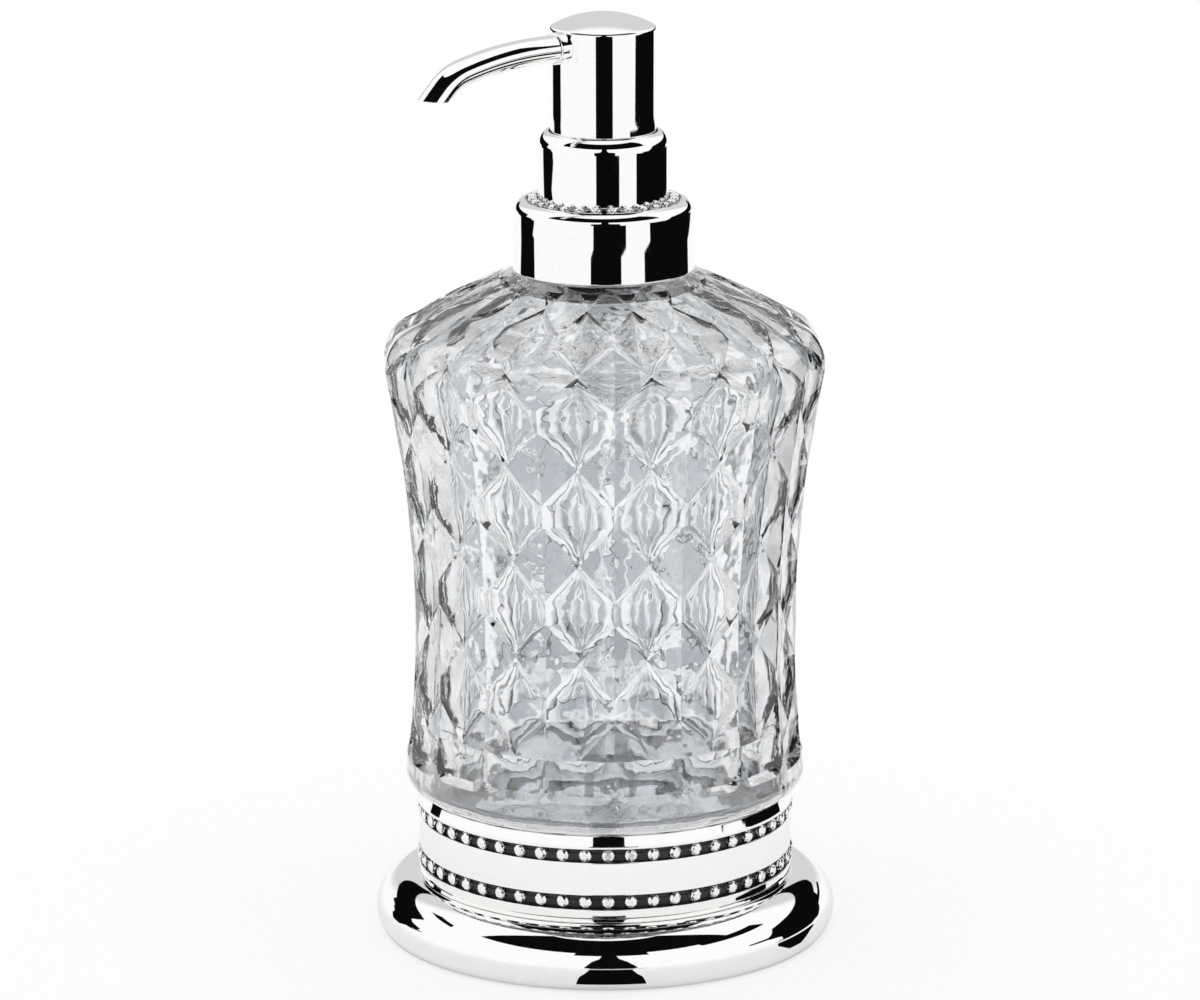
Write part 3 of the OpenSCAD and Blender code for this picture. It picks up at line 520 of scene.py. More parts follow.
def ring_profile():
    """Outline of the holder ring: three lips, two grooves for the stones and a sloped rim."""
    low0, low1 = LOWER_ROW_Z - GROOVE_H / 2, LOWER_ROW_Z + GROOVE_H / 2
    up0, up1 = UPPER_ROW_Z - GROOVE_H / 2, UPPER_ROW_Z + GROOVE_H / 2
    groove_r = RING_R - GROOVE_DEPTH
    rim0 = RING_TOP - RIM_H
    top_r = LIP_R - RIM_IN
    edge, lip = 0.15, 0.3
    slope = math.degrees(math.atan2(RIM_IN, RIM_H))
    return (
        [(RING_IN_R, FOOT_H), (RING_R - 0.6, FOOT_H), (RING_R - 0.4, FOOT_H + 0.6)]
        + arc(LIP_R - lip, FOOT_H + 1.0, lip, -70, 0, 5)
        + arc(LIP_R - edge, low0 - edge, edge, 0, 90, 5)
        + [(groove_r, low0), (groove_r, low1)]
        + arc(RING_R - edge, low1 + edge, edge, -90, 0, 5)
        + arc(RING_R - edge, up0 - edge, edge, 0, 90, 5)
        + [(groove_r, up0), (groove_r, up1)]
        + arc(LIP_R - edge, up1 + edge, edge, -90, 0, 5)
        + arc(LIP_R - edge, rim0 - edge, edge, 0, slope, 3)
        + arc(top_r - lip, RING_TOP - lip, lip, slope, 90, 6)
        + arc(RING_IN_R + lip, RING_TOP - lip, lip, 90, 180, 6)
    )


def in_groove(r, z):
    """1 on the floor of a groove, else 0."""
    near_row = min(abs(z - LOWER_ROW_Z), abs(z - UPPER_ROW_Z)) < GROOVE_H / 2 + 0.01
    return int(near_row and RING_R - GROOVE_DEPTH - 0.01 < r < RING_R - 0.2)


finish_piece(lathe("foot", foot_profile()), "stand", "chrome_plate", [chrome], "foot_flange")
finish_piece(
    lathe("holder", ring_profile(), pick=in_groove),
    "stand",
    "chrome_plate",
    [chrome, groove_black],
    "holder_ring",
)


# ---------- rows of stones ----------


def stone_shape(d):
    """A round cut stone standing on z = 0: table, two rows of crown facets, girdle and point."""
    r = d / 2 - SEAT_GAP
    girdle_low, girdle_top = CUP_H - 0.15, CUP_H + 0.07
    top = CUP_H + CROWN_H
    crown = girdle_top + 0.62 * (top - girdle_top)
    sides = 8
    verts, faces = [(0.0, 0.0, 0.25)], []
    for ring_r, z, offset, count in (
        (r, girdle_low, 0.0, 2 * sides),
        (r, girdle_top, 0.0, 2 * sides),
        (0.80 * r, crown, 0.5, sides),
        (0.56 * r, top, 0.0, sides),
    ):
        for k in range(count):
            t = 2 * math.pi * (k + offset) / count
            verts.append((ring_r * math.cos(t), ring_r * math.sin(t), z))
    mid, table = 1 + 4 * sides, 1 + 5 * sides
    girdle = 1 + 2 * sides
    for k in range(2 * sides):
        m = (k + 1) % (2 * sides)
        faces.append([0, 1 + m, 1 + k])
        faces.append([1 + k, 1 + m, girdle + m, girdle + k])
    for k in range(sides):
        m = (k + 1) % sides
        g0, g1, g2 = (girdle + (2 * k + i) % (2 * sides) for i in range(3))
        faces += [[g0, g1, mid + k], [g1, g2, mid + k]]
        faces.append([mid + k, g2, mid + m, table + m])
        faces.append([mid + k, table + m, table + k])
    faces.append([table + k for k in range(sides)])
    return verts, faces


def cup_shape(d):
    """An open cup standing on z = 0, with four prongs folded over the stone."""
    r_in, r_out = d / 2, d / 2 + CUP_WALL
    sides, rows = 32, 6
    verts, faces = [], []
    for k in range(sides):
        t = 2 * math.pi * k / sides
        prong = max(0.0, math.cos(4 * t)) ** 6
        top = 0.5 * CUP_H + prong * (0.5 * CUP_H + PRONG_H)
        fold = PRONG_FOLD * prong
        for r, z in (
            (r_out, 0.0),
            (r_out, top - 0.15),
            (r_out - 0.06 - fold, top),
            (r_in - fold, top - 0.04),
            (r_in, min(top - 0.15, CUP_H - 0.2)),
            (r_in, CUP_WALL),
        ):
            verts.append((r * math.cos(t), r * math.sin(t), z))
    for k in range(sides):
        m = (k + 1) % sides
        for i in range(rows - 1):
            faces.append([k * rows + i, m * rows + i, m * rows + i + 1, k * rows + i + 1])
    verts += [(0.0, 0.0, 0.0), (0.0, 0.0, CUP_WALL)]
    bottom, floor = len(verts) - 2, len(verts) - 1
    for k in range(sides):
        m = (k + 1) % sides
        faces.append([bottom, m * rows, k * rows])
        faces.append([floor, k * rows + rows - 1, m * rows + rows - 1])
    return verts, faces


UP = np.array([0.0, 0.0, 1.0])
CUP_SPIN = math.pi / 8


def around(count):
    """Outward and sideways directions at evenly spread turns."""
    for i in range(count):
        t = 2 * math.pi * (i + 0.5) / count
        c, s = math.cos(t), math.sin(t)
        yield np.array([c, s, 0.0]), np.array([-s, c, 0.0])


def holder_places(z):
    """Places round the holder, looking outwards."""
    c, s = math.cos(CUP_SPIN), math.sin(CUP_SPIN)
    r = RING_R - GROOVE_DEPTH + SEAT_GAP
    return [
        (out * r + UP * z, c * side + s * UP, c * UP - s * side, out)
        for out, side in around(ROW_STONES)
    ]


def collar_places():
    """Places round the collar's shoulder, looking up."""
    z = GUIDE_Z + SEAT_GAP
    return [(out * STONE_TRACK_R + UP * z, out, side, UP) for out, side in around(COLLAR_STONES)]


BAR_FACES = ((0, 1, 2, 3), (7, 6, 5, 4), (0, 4, 5, 1), (1, 5, 6, 2), (2, 6, 7, 3), (3, 7, 4, 0))


def bar_end(place, towards, along, width):
    """Corners of a link's end, at a distance along from a cup's middle towards another cup."""
    origin, out = place[0], place[3]
    step = towards - origin
    step /= np.linalg.norm(step)
    start, wide = origin + step * along, np.cross(out, step) * width / 2
    return [start - wide, start + wide, start + wide + out * LINK_T, start - wide + out * LINK_T]


def add_links(obj, places, along, width):
    """Short bars between neighbouring cups, added to the cups' mesh with their second material."""
    edit = bmesh.new()
    edit.from_mesh(obj.data)
    for a, b in zip(places, places[1:] + places[:1]):
        near, far = bar_end(a, b[0], along, width), bar_end(b, a[0], along, width)
        corners = near + [far[k] for k in (1, 0, 3, 2)]
        verts = [edit.verts.new(Vector(v) * MM) for v in corners]
        for face in BAR_FACES:
            edit.faces.new([verts[k] for k in face]).material_index = 1
    edit.to_mesh(obj.data)
    edit.free()


def set_stones(row, body, places, d, link_width):
    """One row of stones and its strip of cups."""
    stones = spread(f"{row}_stones", stone_shape(d), places, 5.0)
    finish_piece(stones, body, "crystal", [crystal], f"{row}_crystals")
    cups = spread(f"{row}_cups", cup_shape(d), places, 35.0)
    add_links(cups, places, d / 2 + 0.1, link_width)
    finish_piece(cups, body, "cup_chain_metal", [cup_metal, groove_black], f"{row}_cup_chain")


set_stones("upper", "stand", holder_places(UPPER_ROW_Z), ROW_STONE_D, ROW_LINK_W)
set_stones("lower", "stand", holder_places(LOWER_ROW_Z), ROW_STONE_D, ROW_LINK_W)
set_stones("collar", "collar", collar_places(), COLLAR_STONE_D, COLLAR_LINK_W)


# ---------- bottle ----------

SIDE_C = (WAIST_R + BODY_ARC, WAIST_Z)
TILT = math.asin((CORNER_Z - WAIST_Z) / (BODY_ARC + CORNER_R))
CORNER_C = (SIDE_C[0] - (BODY_ARC + CORNER_R) * math.cos(TILT), CORNER_Z)
SLOPE = math.radians(SHOULDER_SLOPE)
SHOULDER_C = (
    CORNER_C[0] + (CORNER_R - SHOULDER_ARC) * math.sin(SLOPE),
    CORNER_C[1] + (CORNER_R - SHOULDER_ARC) * math.cos(SLOPE),
)
FIRST_ANGLE = math.asin((FIRST_NODE_Z - WAIST_Z) / BODY_ARC)


def side_s(z):
    """Distance along the side, counted from the lowest row of nodes."""
    return BODY_ARC * (math.asin((z - WAIST_Z) / BODY_ARC) - FIRST_ANGLE)


S_CORNER = side_s(WAIST_Z + BODY_ARC * math.sin(TILT))
S_SHOULDER = S_CORNER + CORNER_R * (TILT + math.pi / 2 - SLOPE)


def shoulder_s(r):
    """Distance along the side where the shoulder has a radius."""
    return S_SHOULDER + SHOULDER_ARC * (SLOPE - math.asin((r - SHOULDER_C[0]) / SHOULDER_ARC))


def shoulder_z(r):
    """Height of the shoulder at a radius."""
    return SHOULDER_C[1] + math.sqrt(SHOULDER_ARC**2 - (r - SHOULDER_C[0]) ** 2)


CUT_END = shoulder_s(CUT_END_R)
EASE_START, EASE_END = shoulder_s(EASE_START_R), shoulder_s(EASE_END_R)


def outline(s):
    """Point (r, z) and outward normal of the bottle's outline at distance s."""
    if s < S_CORNER:
        a = FIRST_ANGLE + s / BODY_ARC
        nr, nz = math.cos(a), -math.sin(a)
        return SIDE_C[0] - BODY_ARC * nr, SIDE_C[1] - BODY_ARC * nz, nr, nz
    if s < S_SHOULDER:
        a, c, r = -TILT + (s - S_CORNER) / CORNER_R, CORNER_C, CORNER_R
    else:
        a, c, r = math.pi / 2 - SLOPE + (s - S_SHOULDER) / SHOULDER_ARC, SHOULDER_C, SHOULDER_ARC
    return c[0] + r * math.cos(a), c[1] + r * math.sin(a), math.cos(a), math.sin(a)


def cut_depth(x, s):
    """Depth of the cutting at x panels round the bottle (an array) and distance s along its side.

    Nodes lie at whole x and whole rows, points between them, and scoops above and below the
    nodes. The cuts fade out at both ends and get shallower over the shoulder.
    """
    y = s / ROW_PITCH
    side = 1 - 2 * np.abs(x - np.round(x))
    dy = abs(y - round(y))
    q = dy * ROW_PITCH / POINT_H
    half = min(1.0, q) if s >= 0 else min(1.0, -s / PANEL_LINE_H)
    edge = NODE_DEPTH * (1 - half) + RIDGE_DEPTH * half
    bottom = NODE_DEPTH + SCOOP_DEPTH * (1 - max(0.0, 1 - dy * ROW_PITCH / FAN_H) ** 2)
    across = (1 - side) / half if half > 0 else np.zeros_like(side)
    scoop = edge + (bottom - edge) * (1 - across**2)
    point = side + q <= 1 if s >= 0 else side + half <= 1
    depth = np.where(point, NODE_DEPTH * side + RIDGE_DEPTH * min(1.0, q), scoop)
    corner = np.clip(1 - side / PANEL_CORNER, 0, 1)
    start = CUT_START + PANEL_CORNER_H * (1 - np.sqrt(1 - corner**2)) if s < 0 else CUT_START
    fade = np.clip((s - start) / RUN_OUT, 0, 1) * np.clip((CUT_END - s) / RUN_OUT, 0, 1)
    ease = 1 - SHOULDER_EASE * np.clip((s - EASE_START) / (EASE_END - EASE_START), 0, 1)
    return depth * fade * ease


def cut_rows():
    """Distances of the cut wall's rows, which pass through the points' corners and edges."""
    half = PANEL_STEPS // 2
    offsets = [POINT_H * i / half for i in range(half + 1)]
    offsets += [POINT_H + (ROW_PITCH / 2 - POINT_H) * i / 4 for i in range(1, 4)]
    rows = [*np.arange(CUT_START, -PANEL_LINE_H, 0.3), -PANEL_LINE_H, -PANEL_LINE_H / 2]
    for row in range(math.ceil(CUT_END / ROW_PITCH) + 1):
        rows += [row * ROW_PITCH + sign * v for v in offsets for sign in (-1, 1)]
        rows.append((row + 0.5) * ROW_PITCH)
    rows = sorted(set(round(float(v), 4) for v in rows))
    return [v for v in rows if CUT_START <= v < CUT_END - 0.1] + [CUT_END]


def thread_height(angle, z, z0, z1):
    """Height of the thread, from 0 to 1, at an angle in turns; it fades out at z0 and z1."""
    phase = ((z - z0) / THREAD_PITCH - angle) % 1.0
    ridge = np.clip(1.6 - np.abs(phase - 0.5) * 6.4, 0, 1)
    ends = np.clip((z - z0) / 1.2, 0, 1) * np.clip((z1 - z) / 1.2, 0, 1)
    return ridge * ends


def base_outline():
    """Outline (r, z) of the bottle's foiled base and of its plug inside the holder ring."""
    return (
        [(0.5 * PLUG_R, BOTTLE_Z + 0.7 * PUNT_H), (0.8 * PLUG_R, BOTTLE_Z + 0.1)]
        + arc(PLUG_R - PLUG_ROUND, BOTTLE_Z + PLUG_ROUND, PLUG_ROUND, -90, 0, 6)
        + [(PLUG_R, RING_TOP - 0.6)]
    )


def plain_outline():
    """Outline of the uncut wall between the holder ring and the lowest cuts."""
    start = side_s(PLAIN_Z)
    return (
        [(PLUG_R, RING_TOP + 0.2)]
        + arc(outline(start)[0] - PLAIN_R, PLAIN_Z, PLAIN_R, -78, 0, 14)
        + [outline(s)[:2] for s in np.linspace(start, CUT_START, 4)[1:-1]]
    )


def cut_wall(rows, columns):
    """Rings (radii, heights) of the cut wall at rows of distances along the side."""
    x = np.arange(columns) / PANEL_STEPS
    rings = []
    for s in rows:
        r, z, nr, nz = outline(s)
        depth = cut_depth(x, s)
        rings.append((r - depth * nr, z - depth * nz))
    return rings


def neck_wall(columns):
    """Rings of the shoulder's plain top, the threaded neck, its rim and its bore."""
    top_r = COLLAR_R + 0.1
    top = shoulder_z(top_r)
    fillet, lip, edge = 1.1, 0.6, 0.4
    z0, z1 = top + 2.0, RIM_Z - 2 * lip
    angle, thread = np.arange(columns) / columns, NECK_R - NECK_ROOT_R
    return (
        [(r, shoulder_z(r)) for r in np.linspace(CUT_END_R, top_r, 5)[1:]]
        + [(NECK_R + 1.2, top + 0.1)]
        + arc(NECK_ROOT_R + fillet, top + 0.1 + fillet, fillet, 270, 180, 5)
        + [
            (NECK_ROOT_R + thread * thread_height(angle, z, z0, z1), z)
            for z in np.linspace(z0, z1, 36)
        ]
        + arc(NECK_ROOT_R - lip, RIM_Z - lip, lip, 0, 90, 5)
        + arc(BORE_R + edge, RIM_Z - edge, edge, 90, 180, 4)
        + [(BORE_R, top - 2.0), (BORE_R + 1.2, top - 3.4)]
    )


def cavity_wall():
    """Rings of the cavity, a wall's thickness inside the outline, down to its floor."""
    s_floor = side_s(CAVITY_Z + CAVITY_ROUND)
    rings = []
    for s in (
        *np.linspace(CUT_END, S_SHOULDER, 10),
        *np.linspace(S_SHOULDER, S_CORNER, 16)[1:],
        *np.linspace(S_CORNER, s_floor, 30)[1:],
    ):
        r, z, nr, nz = outline(s)
        rings.append((r - GLASS_WALL * nr, z - GLASS_WALL * nz))
    floor_r = outline(s_floor)[0] - GLASS_WALL - CAVITY_ROUND
    rings += arc(floor_r, CAVITY_Z + CAVITY_ROUND, CAVITY_ROUND, 0, -90, 14)[1:]
    return rings + [(0.5 * floor_r, CAVITY_Z)]


def glass_bottle():
    """The bottle as one closed mesh, whose base and plug take the second material."""
    columns = PANELS * PANEL_STEPS
    turn = 2 * math.pi * np.arange(columns) / columns + math.radians(90 + CUT_TURN)
    base, plain, rows = base_outline(), plain_outline(), cut_rows()
    rings = base + plain + cut_wall(rows, columns) + neck_wall(columns) + cavity_wall()
    verts = [np.array([[0.0, 0.0, BOTTLE_Z + PUNT_H]])]
    for r, z in rings:
        verts.append(np.stack(np.broadcast_arrays(r * np.cos(turn), r * np.sin(turn), z), 1))
    verts.append(np.array([[0.0, 0.0, CAVITY_Z]]))
    verts = np.concatenate(verts)
    last = len(verts) - 1
    faces = [[0, 1 + (i + 1) % columns, 1 + i] for i in range(columns)]
    for k in range(len(rings) - 1):
        a, b = 1 + k * columns, 1 + (k + 1) * columns
        step = k - len(base) - len(plain)
        cut = 0 <= step < len(rows) - 1
        row = (rows[step] + rows[step + 1]) / 2 / ROW_PITCH if cut else 0.0
        for i in range(columns):
            j = (i + 1) % columns
            u = (i + 0.5) / PANEL_STEPS
            if not cut:
                faces.append([a + i, a + j, b + j, b + i])
            elif (u - round(u)) * (row - round(row)) > 0:
                faces += [[a + i, a + j, b + j], [a + i, b + j, b + i]]
            else:
                faces += [[a + i, a + j, b + i], [a + j, b + j, b + i]]
    inner = last - columns
    faces += [[last, inner + i, inner + (i + 1) % columns] for i in range(columns)]
    picks = [int(i < len(base) * columns) for i in range(len(faces))]
    return face_out(make_object("bottle", verts, faces, 9.0, picks))


finish_piece(glass_bottle(), "stand", "cut_glass", [cut_glass, base_foil], "glass_bottle")


# ---------- collar, guide and head ----------


def collar_profile():
    """Outline of the collar's shell with its lip, the stones' track and the hole for the stem."""
    round_c = (SHELL_TOP_R - COLLAR_ROUND, COLLAR_LIP_Z - COLLAR_ROUND)
    hole_r = high("stem_retainer").x + 0.3
    shell_in = SHELL_TOP_R - SHELL_WALL
    return (
        [(COLLAR_R - SHELL_WALL, SHELL_Z)]
        + arc(COLLAR_R - 0.2, SHELL_Z + 0.2, 0.2, -90, 0, 4)
        + arc(*round_c, COLLAR_ROUND, 0, 90, 18)
        + [(COLLAR_LIP_R, COLLAR_LIP_Z - 0.1), (COLLAR_LIP_R - 0.1, GUIDE_Z)]
        + [(hole_r, GUIDE_Z), (hole_r, CAP_TOP)]
        + [(round_c[0] - 0.4, CAP_TOP), (shell_in, CAP_TOP - 0.6)]
    )


def guide_profile():
    """Outline of the guide: upright wall, elliptical shoulder and the lip round the head."""
    lip_r, edge = HEAD_R + 0.3, 0.15
    foot_z = GUIDE_TOP - GUIDE_ROUND_H
    width = GUIDE_R - lip_r - edge
    shoulder = [
        (GUIDE_R - width * (1 - math.cos(t)), foot_z + GUIDE_ROUND_H * math.sin(t))
        for t in np.radians(np.linspace(0, 86, 18))
    ]
    in_r = GUIDE_R - GUIDE_WALL
    return (
        [(in_r, GUIDE_Z), (GUIDE_R, GUIDE_Z)]
        + shoulder
        + arc(lip_r + edge, GUIDE_TOP - edge, edge, 90, 180, 4)
        + [(lip_r, foot_z - 0.4), (in_r, foot_z - 1.2)]
    )


def head_profile():
    """Outline of the head's shell: upright wall, rounded edge and domed top."""
    edge_z = HEAD_EDGE_Z - HEAD_EDGE_R
    sweep = math.degrees(DOME_SWEEP)
    dome_c = edge_z - (DOME_R - HEAD_EDGE_R) * math.cos(DOME_SWEEP)
    in_r = HEAD_R - HEAD_WALL
    inner = DOME_R - HEAD_WALL
    in_angle = math.degrees(math.asin(in_r / inner))
    return (
        [(in_r, HEAD_Z), (HEAD_R - 0.15, HEAD_Z), (HEAD_R, HEAD_Z + 0.15)]
        + arc(HEAD_R - HEAD_EDGE_R, edge_z, HEAD_EDGE_R, 0, 90 - sweep, 12)
        + arc(0, dome_c, DOME_R, 90 - sweep, 90, 24)[1:]
        + arc(0, dome_c, inner, 90, 90 - in_angle, 12)
    )


def cut_hole(obj, radius):
    """Bores a hole for the spout through the front wall of a piece."""
    verts, faces = turned([(0, 0), (radius, 0), (radius, HEAD_R + 2), (0, HEAD_R + 2)], 96)
    verts = [(x, -z, y + SPOUT_Z) for x, y, z in verts]
    cutter = face_out(make_object("cutter", verts, faces))
    modifier = obj.modifiers.new("hole", "BOOLEAN")
    modifier.operation = "DIFFERENCE"
    modifier.object = cutter
    shown = obj.evaluated_get(bpy.context.evaluated_depsgraph_get())
    mesh = bpy.data.meshes.new_from_object(shown)
    obj.modifiers.clear()
    obj.data = mesh
    mesh.set_sharp_from_angle(angle=math.radians(30))
    bpy.data.objects.remove(cutter)
    return obj


finish_piece(lathe("collar", collar_profile()), "collar", "chrome_plate", [chrome], "collar_shell")
finish_piece(lathe("guide", guide_profile()), "collar", "chrome_plate", [chrome], "guide_collar")
head = cut_hole(lathe("head", head_profile()), SPOUT_R + SEAT_GAP)
finish_piece(head, "head", "chrome_plate", [chrome], "head_shell")


def spout_stations(tip_l):
    """Stations (reach, height, downward slope) along the spout's axis."""
    long_a = math.radians(SPOUT_LONG_ANGLE)
    tip_a = math.radians(SPOUT_LONG_ANGLE + SPOUT_TIP_ANGLE)
    out = [(v, SPOUT_Z, 0.0) for v in np.linspace(SPOUT_ROOT, SPOUT_STRAIGHT, 8)[:-1]]
    for a in np.linspace(0, long_a, 28)[:-1]:
        drop = SPOUT_LONG_R * (1 - math.cos(a))
        out.append((SPOUT_STRAIGHT + SPOUT_LONG_R * math.sin(a), SPOUT_Z - drop, a))
    reach = SPOUT_STRAIGHT + (SPOUT_LONG_R - SPOUT_TIP_R) * math.sin(long_a)
    height = SPOUT_Z - SPOUT_LONG_R + (SPOUT_LONG_R - SPOUT_TIP_R) * math.cos(long_a)
    for a in np.linspace(long_a, tip_a, 20):
        out.append((reach + SPOUT_TIP_R * math.sin(a), height + SPOUT_TIP_R * math.cos(a), a))
    end = out[-1]
    for v in (0.34, 0.67, 1.0):
        ahead = v * tip_l
        out.append((end[0] + ahead * math.cos(tip_a), end[1] - ahead * math.sin(tip_a), tip_a))
    return out


def swept_tube(name, stations, radius, bore, sides=96):
    """A tube along the spout's axis, cut on a slant at its end."""
    lean = math.tan(math.pi / 2 - stations[-1][2] - math.radians(SPOUT_CUT_ANGLE))
    turn = 2 * math.pi * np.arange(sides) / sides

    def ring(station, r, share):
        """A ring round a station, slanted by a share of the end's lean."""
        reach, height, slope = station
        up = r * np.sin(turn)
        ahead = up * lean * share
        out = reach + up * math.sin(slope) + ahead * math.cos(slope)
        z = height + up * math.cos(slope) - ahead * math.sin(slope)
        return np.stack([r * np.cos(turn), -out, z], 1)

    count = len(stations)
    slanted = 4
    shares = [max(0.0, (i - (count - 1 - slanted)) / slanted) ** 2 for i in range(count)]
    way = list(zip(stations, shares))
    reach, height, slope = stations[-1]
    tip = (reach + SPOUT_EDGE * math.cos(slope), height - SPOUT_EDGE * math.sin(slope), slope)
    rings = [ring(station, radius, share) for station, share in way]
    rings += [ring(tip, r, 1.0) for r in (radius - SPOUT_EDGE, bore + SPOUT_EDGE)]
    rings += [ring(station, bore, share) for station, share in way[::-1]]
    return loop_tube(name, rings)


spout_bore = SPOUT_R - SPOUT_WALL
spout_end = SPOUT_TIP_L - SPOUT_EDGE
spout = swept_tube("spout", spout_stations(spout_end), SPOUT_R, spout_bore)
finish_piece(spout, "head", "chrome_plate", [chrome], "spout_tube")
liner_r = spout_bore - SEAT_GAP
liner_way = spout_stations(spout_end - LINER_INSET)
liner = swept_tube("liner", liner_way, liner_r, liner_r - LINER_WALL, 64)
finish_piece(liner, "head", "white_plastic", [white_plastic], "spout_liner")


def ferrule():
    """The rounded ring round the spout's root, its back fitted to the head's side."""
    bore, tip, edge = SPOUT_R + SEAT_GAP, HEAD_R + FERRULE_L, FERRULE_ROUND
    sides = 128
    turn = 2 * math.pi * np.arange(sides) / sides

    def ring(r, reach):
        """A ring of a radius, at one reach or at one for each of its points."""
        out = np.broadcast_to(-reach, (sides,))
        return np.stack([r * np.cos(turn), out, SPOUT_Z + r * np.sin(turn)], 1)

    front = [(bore, tip)] + arc(FERRULE_R - edge, tip - edge, edge, 90, 0, 8)
    rings = [ring(r, reach) for r, reach in front]
    for r in (FERRULE_R, bore):
        rings.append(ring(r, np.sqrt((HEAD_R + SEAT_GAP) ** 2 - (r * np.cos(turn)) ** 2)))
    return loop_tube("ferrule", rings)


finish_piece(ferrule(), "head", "chrome_plate", [chrome], "spout_ferrule")


# ---------- return spring ----------


def return_coil():
    """A copy of the return spring's mesh, as a piece of its own."""
    source = nodes["return_spring"]
    mesh = source.data.copy()
    mesh.transform(source.matrix_world)
    mesh.materials.clear()
    smooth(mesh, 35.0)
    return add_object("return_coil", mesh)


coil = finish_piece(return_coil(), "pump", "spring_steel", [spring_steel], "return_spring")
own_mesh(coil)


# ---------- carried-over CAD nodes ----------

CARRIED = {
    "foot_pad": rubber,
    "seat_pad": seat_foam,
    "neck_gasket": gasket_foam,
    "pump_housing": natural_plastic,
    "stem_retainer": white_plastic,
    "dip_tube": tube_plastic,
    "check_ball": ball_steel,
    "screw_cap": white_plastic,
    "piston": piston_plastic,
    "piston_rod": white_plastic,
    "stem": white_plastic,
    "actuator_core": white_plastic,
}
for name, mat in CARRIED.items():
    mesh = nodes[name].data
    mesh.materials.clear()
    mesh.materials.append(mat)
    smooth(mesh, 35.0)


# ---------- stage ----------

# Camera: degrees, metres and millimetres of lens
VIEW_AZIMUTH = math.radians(51.0)
CAMERA_DISTANCE = 1.1877
CAMERA_HEIGHT = 0.3918
CAMERA_PITCH = math.radians(14.225)
CAMERA_ROLL = math.radians(0.15)
CAMERA_LENS = 170.5
CAMERA_SHIFT = (-0.0035, 0.017)

# Studio: what glass sees behind and before itself, what metal sees, and the paper
WHITE = (1.0, 1.0, 1.0)
BEHIND_GLASS = (0.34, 0.38, 0.415)
BEFORE_GLASS = (0.90, 0.92, 0.94)
METAL_GREY = 0.33
CARD_BLACK = 0.003
PAPER = (0.985, 0.985, 0.98)
PAPER_GLOW = 0.7
PAPER_HALF = 6.0

# Cards, in metres
CARD_STEPS = 24
CARD_R = 0.45
NEAR_R = 0.15
LID_R = 0.295
LID_Z = 0.297
LID_HOLE_R = 0.075
FLOOR_CARD_Z = 0.0004
# Turned-up outer edge of the painted-shadow sheets at the foot
SHADOW_CARD_RISE = 0.003


def direction(azimuth, elevation=0.0):
    """Unit vector at degrees from the camera's side; azimuth runs to the image's right."""
    a = VIEW_AZIMUTH - math.pi / 2 + math.radians(azimuth)
    e = math.radians(elevation)
    return Vector((math.cos(a) * math.cos(e), math.sin(a) * math.cos(e), math.sin(e)))


def bare_tree(owner):
    """Empties a material's or world's node tree; returns what adds a node and what links two."""
    owner.use_nodes = True
    tree = owner.node_tree
    tree.nodes.clear()
    return tree.nodes.new, tree.links.new


def card_material():
    """Black that takes no light."""
    mat = bpy.data.materials.new("card_black")
    add, link = bare_tree(mat)
    glow = add("ShaderNodeEmission")
    glow.inputs["Color"].default_value = (CARD_BLACK, CARD_BLACK, CARD_BLACK, 1)
    link(glow.outputs["Emission"], add("ShaderNodeOutputMaterial").inputs["Surface"])
    return mat


card_black = card_material()


def card(name, rows):
    """A black card of the studio that only metal and glass surfaces mirror.

    It runs through rows of (radius, height, azimuth from, azimuth to), in metres and degrees.
    """
    verts, faces = [], []
    for radius, height, a0, a1 in rows:
        for k in range(CARD_STEPS + 1):
            out = direction(a0 + (a1 - a0) * k / CARD_STEPS)
            verts.append(out * radius + Vector((0, 0, height)))
    for i in range(len(rows) - 1):
        for k in range(CARD_STEPS):
            a, b = i * (CARD_STEPS + 1) + k, (i + 1) * (CARD_STEPS + 1) + k
            faces.append([a, a + 1, b + 1, b])
    mesh = bpy.data.meshes.new(name)
    mesh.from_pydata(verts, [], faces)
    mesh.materials.append(card_black)
    obj = add_object(name, mesh)
    for flag in ("visible_camera", "visible_diffuse", "visible_shadow", "visible_transmission"):
        setattr(obj, flag, False)


def wall_card(name, radius, *rows):
    """A card at one radius; rows are (height, azimuth from, azimuth to)."""
    card(name, [(radius, *row) for row in rows])


def floor_card(name, *rows, rise=0.0):
    """A card just above the floor, its outer edge turned up by a rise.

    Its rows are (radius, azimuth from, azimuth to).
    """
    lying = [(radius, FLOOR_CARD_Z, a0, a1) for radius, a0, a1 in rows]
    radius, a0, a1 = rows[-1]
    card(name, lying + ([(radius, rise, a0, a1)] if rise else []))


card("lid_card", [(LID_HOLE_R, LID_Z, -79, 80), (LID_R, LID_Z, -79, 80)])
wall_card(
    "front_card",
    NEAR_R,
    (0.105, -15, 21),
    (0.133, -15, 21),
    (0.135, -12, 27),
    (0.1475, -12, 27),
    (0.1485, -15, 20),
    (0.178, -15, 20),
    (0.184, -11, 15),
    (0.188, -4, 8),
    (0.190, 1, 3),
)
wall_card(
    "front_gap",
    CARD_R,
    (0.0, -10, 15),
    (0.05, -9, 14),
    (0.10, -8, 12.5),
    (0.18, -6.5, 10.5),
    (0.28, -3, 7),
    (0.42, -2, 6),
)
wall_card(
    "right_near_card", NEAR_R, (0.116, 50, 95), (0.133, 50, 95), (0.135, 58, 95), (0.152, 58, 95)
)
wall_card("left_near_card", NEAR_R, (0.116, -116, -90), (0.133, -110, -94))
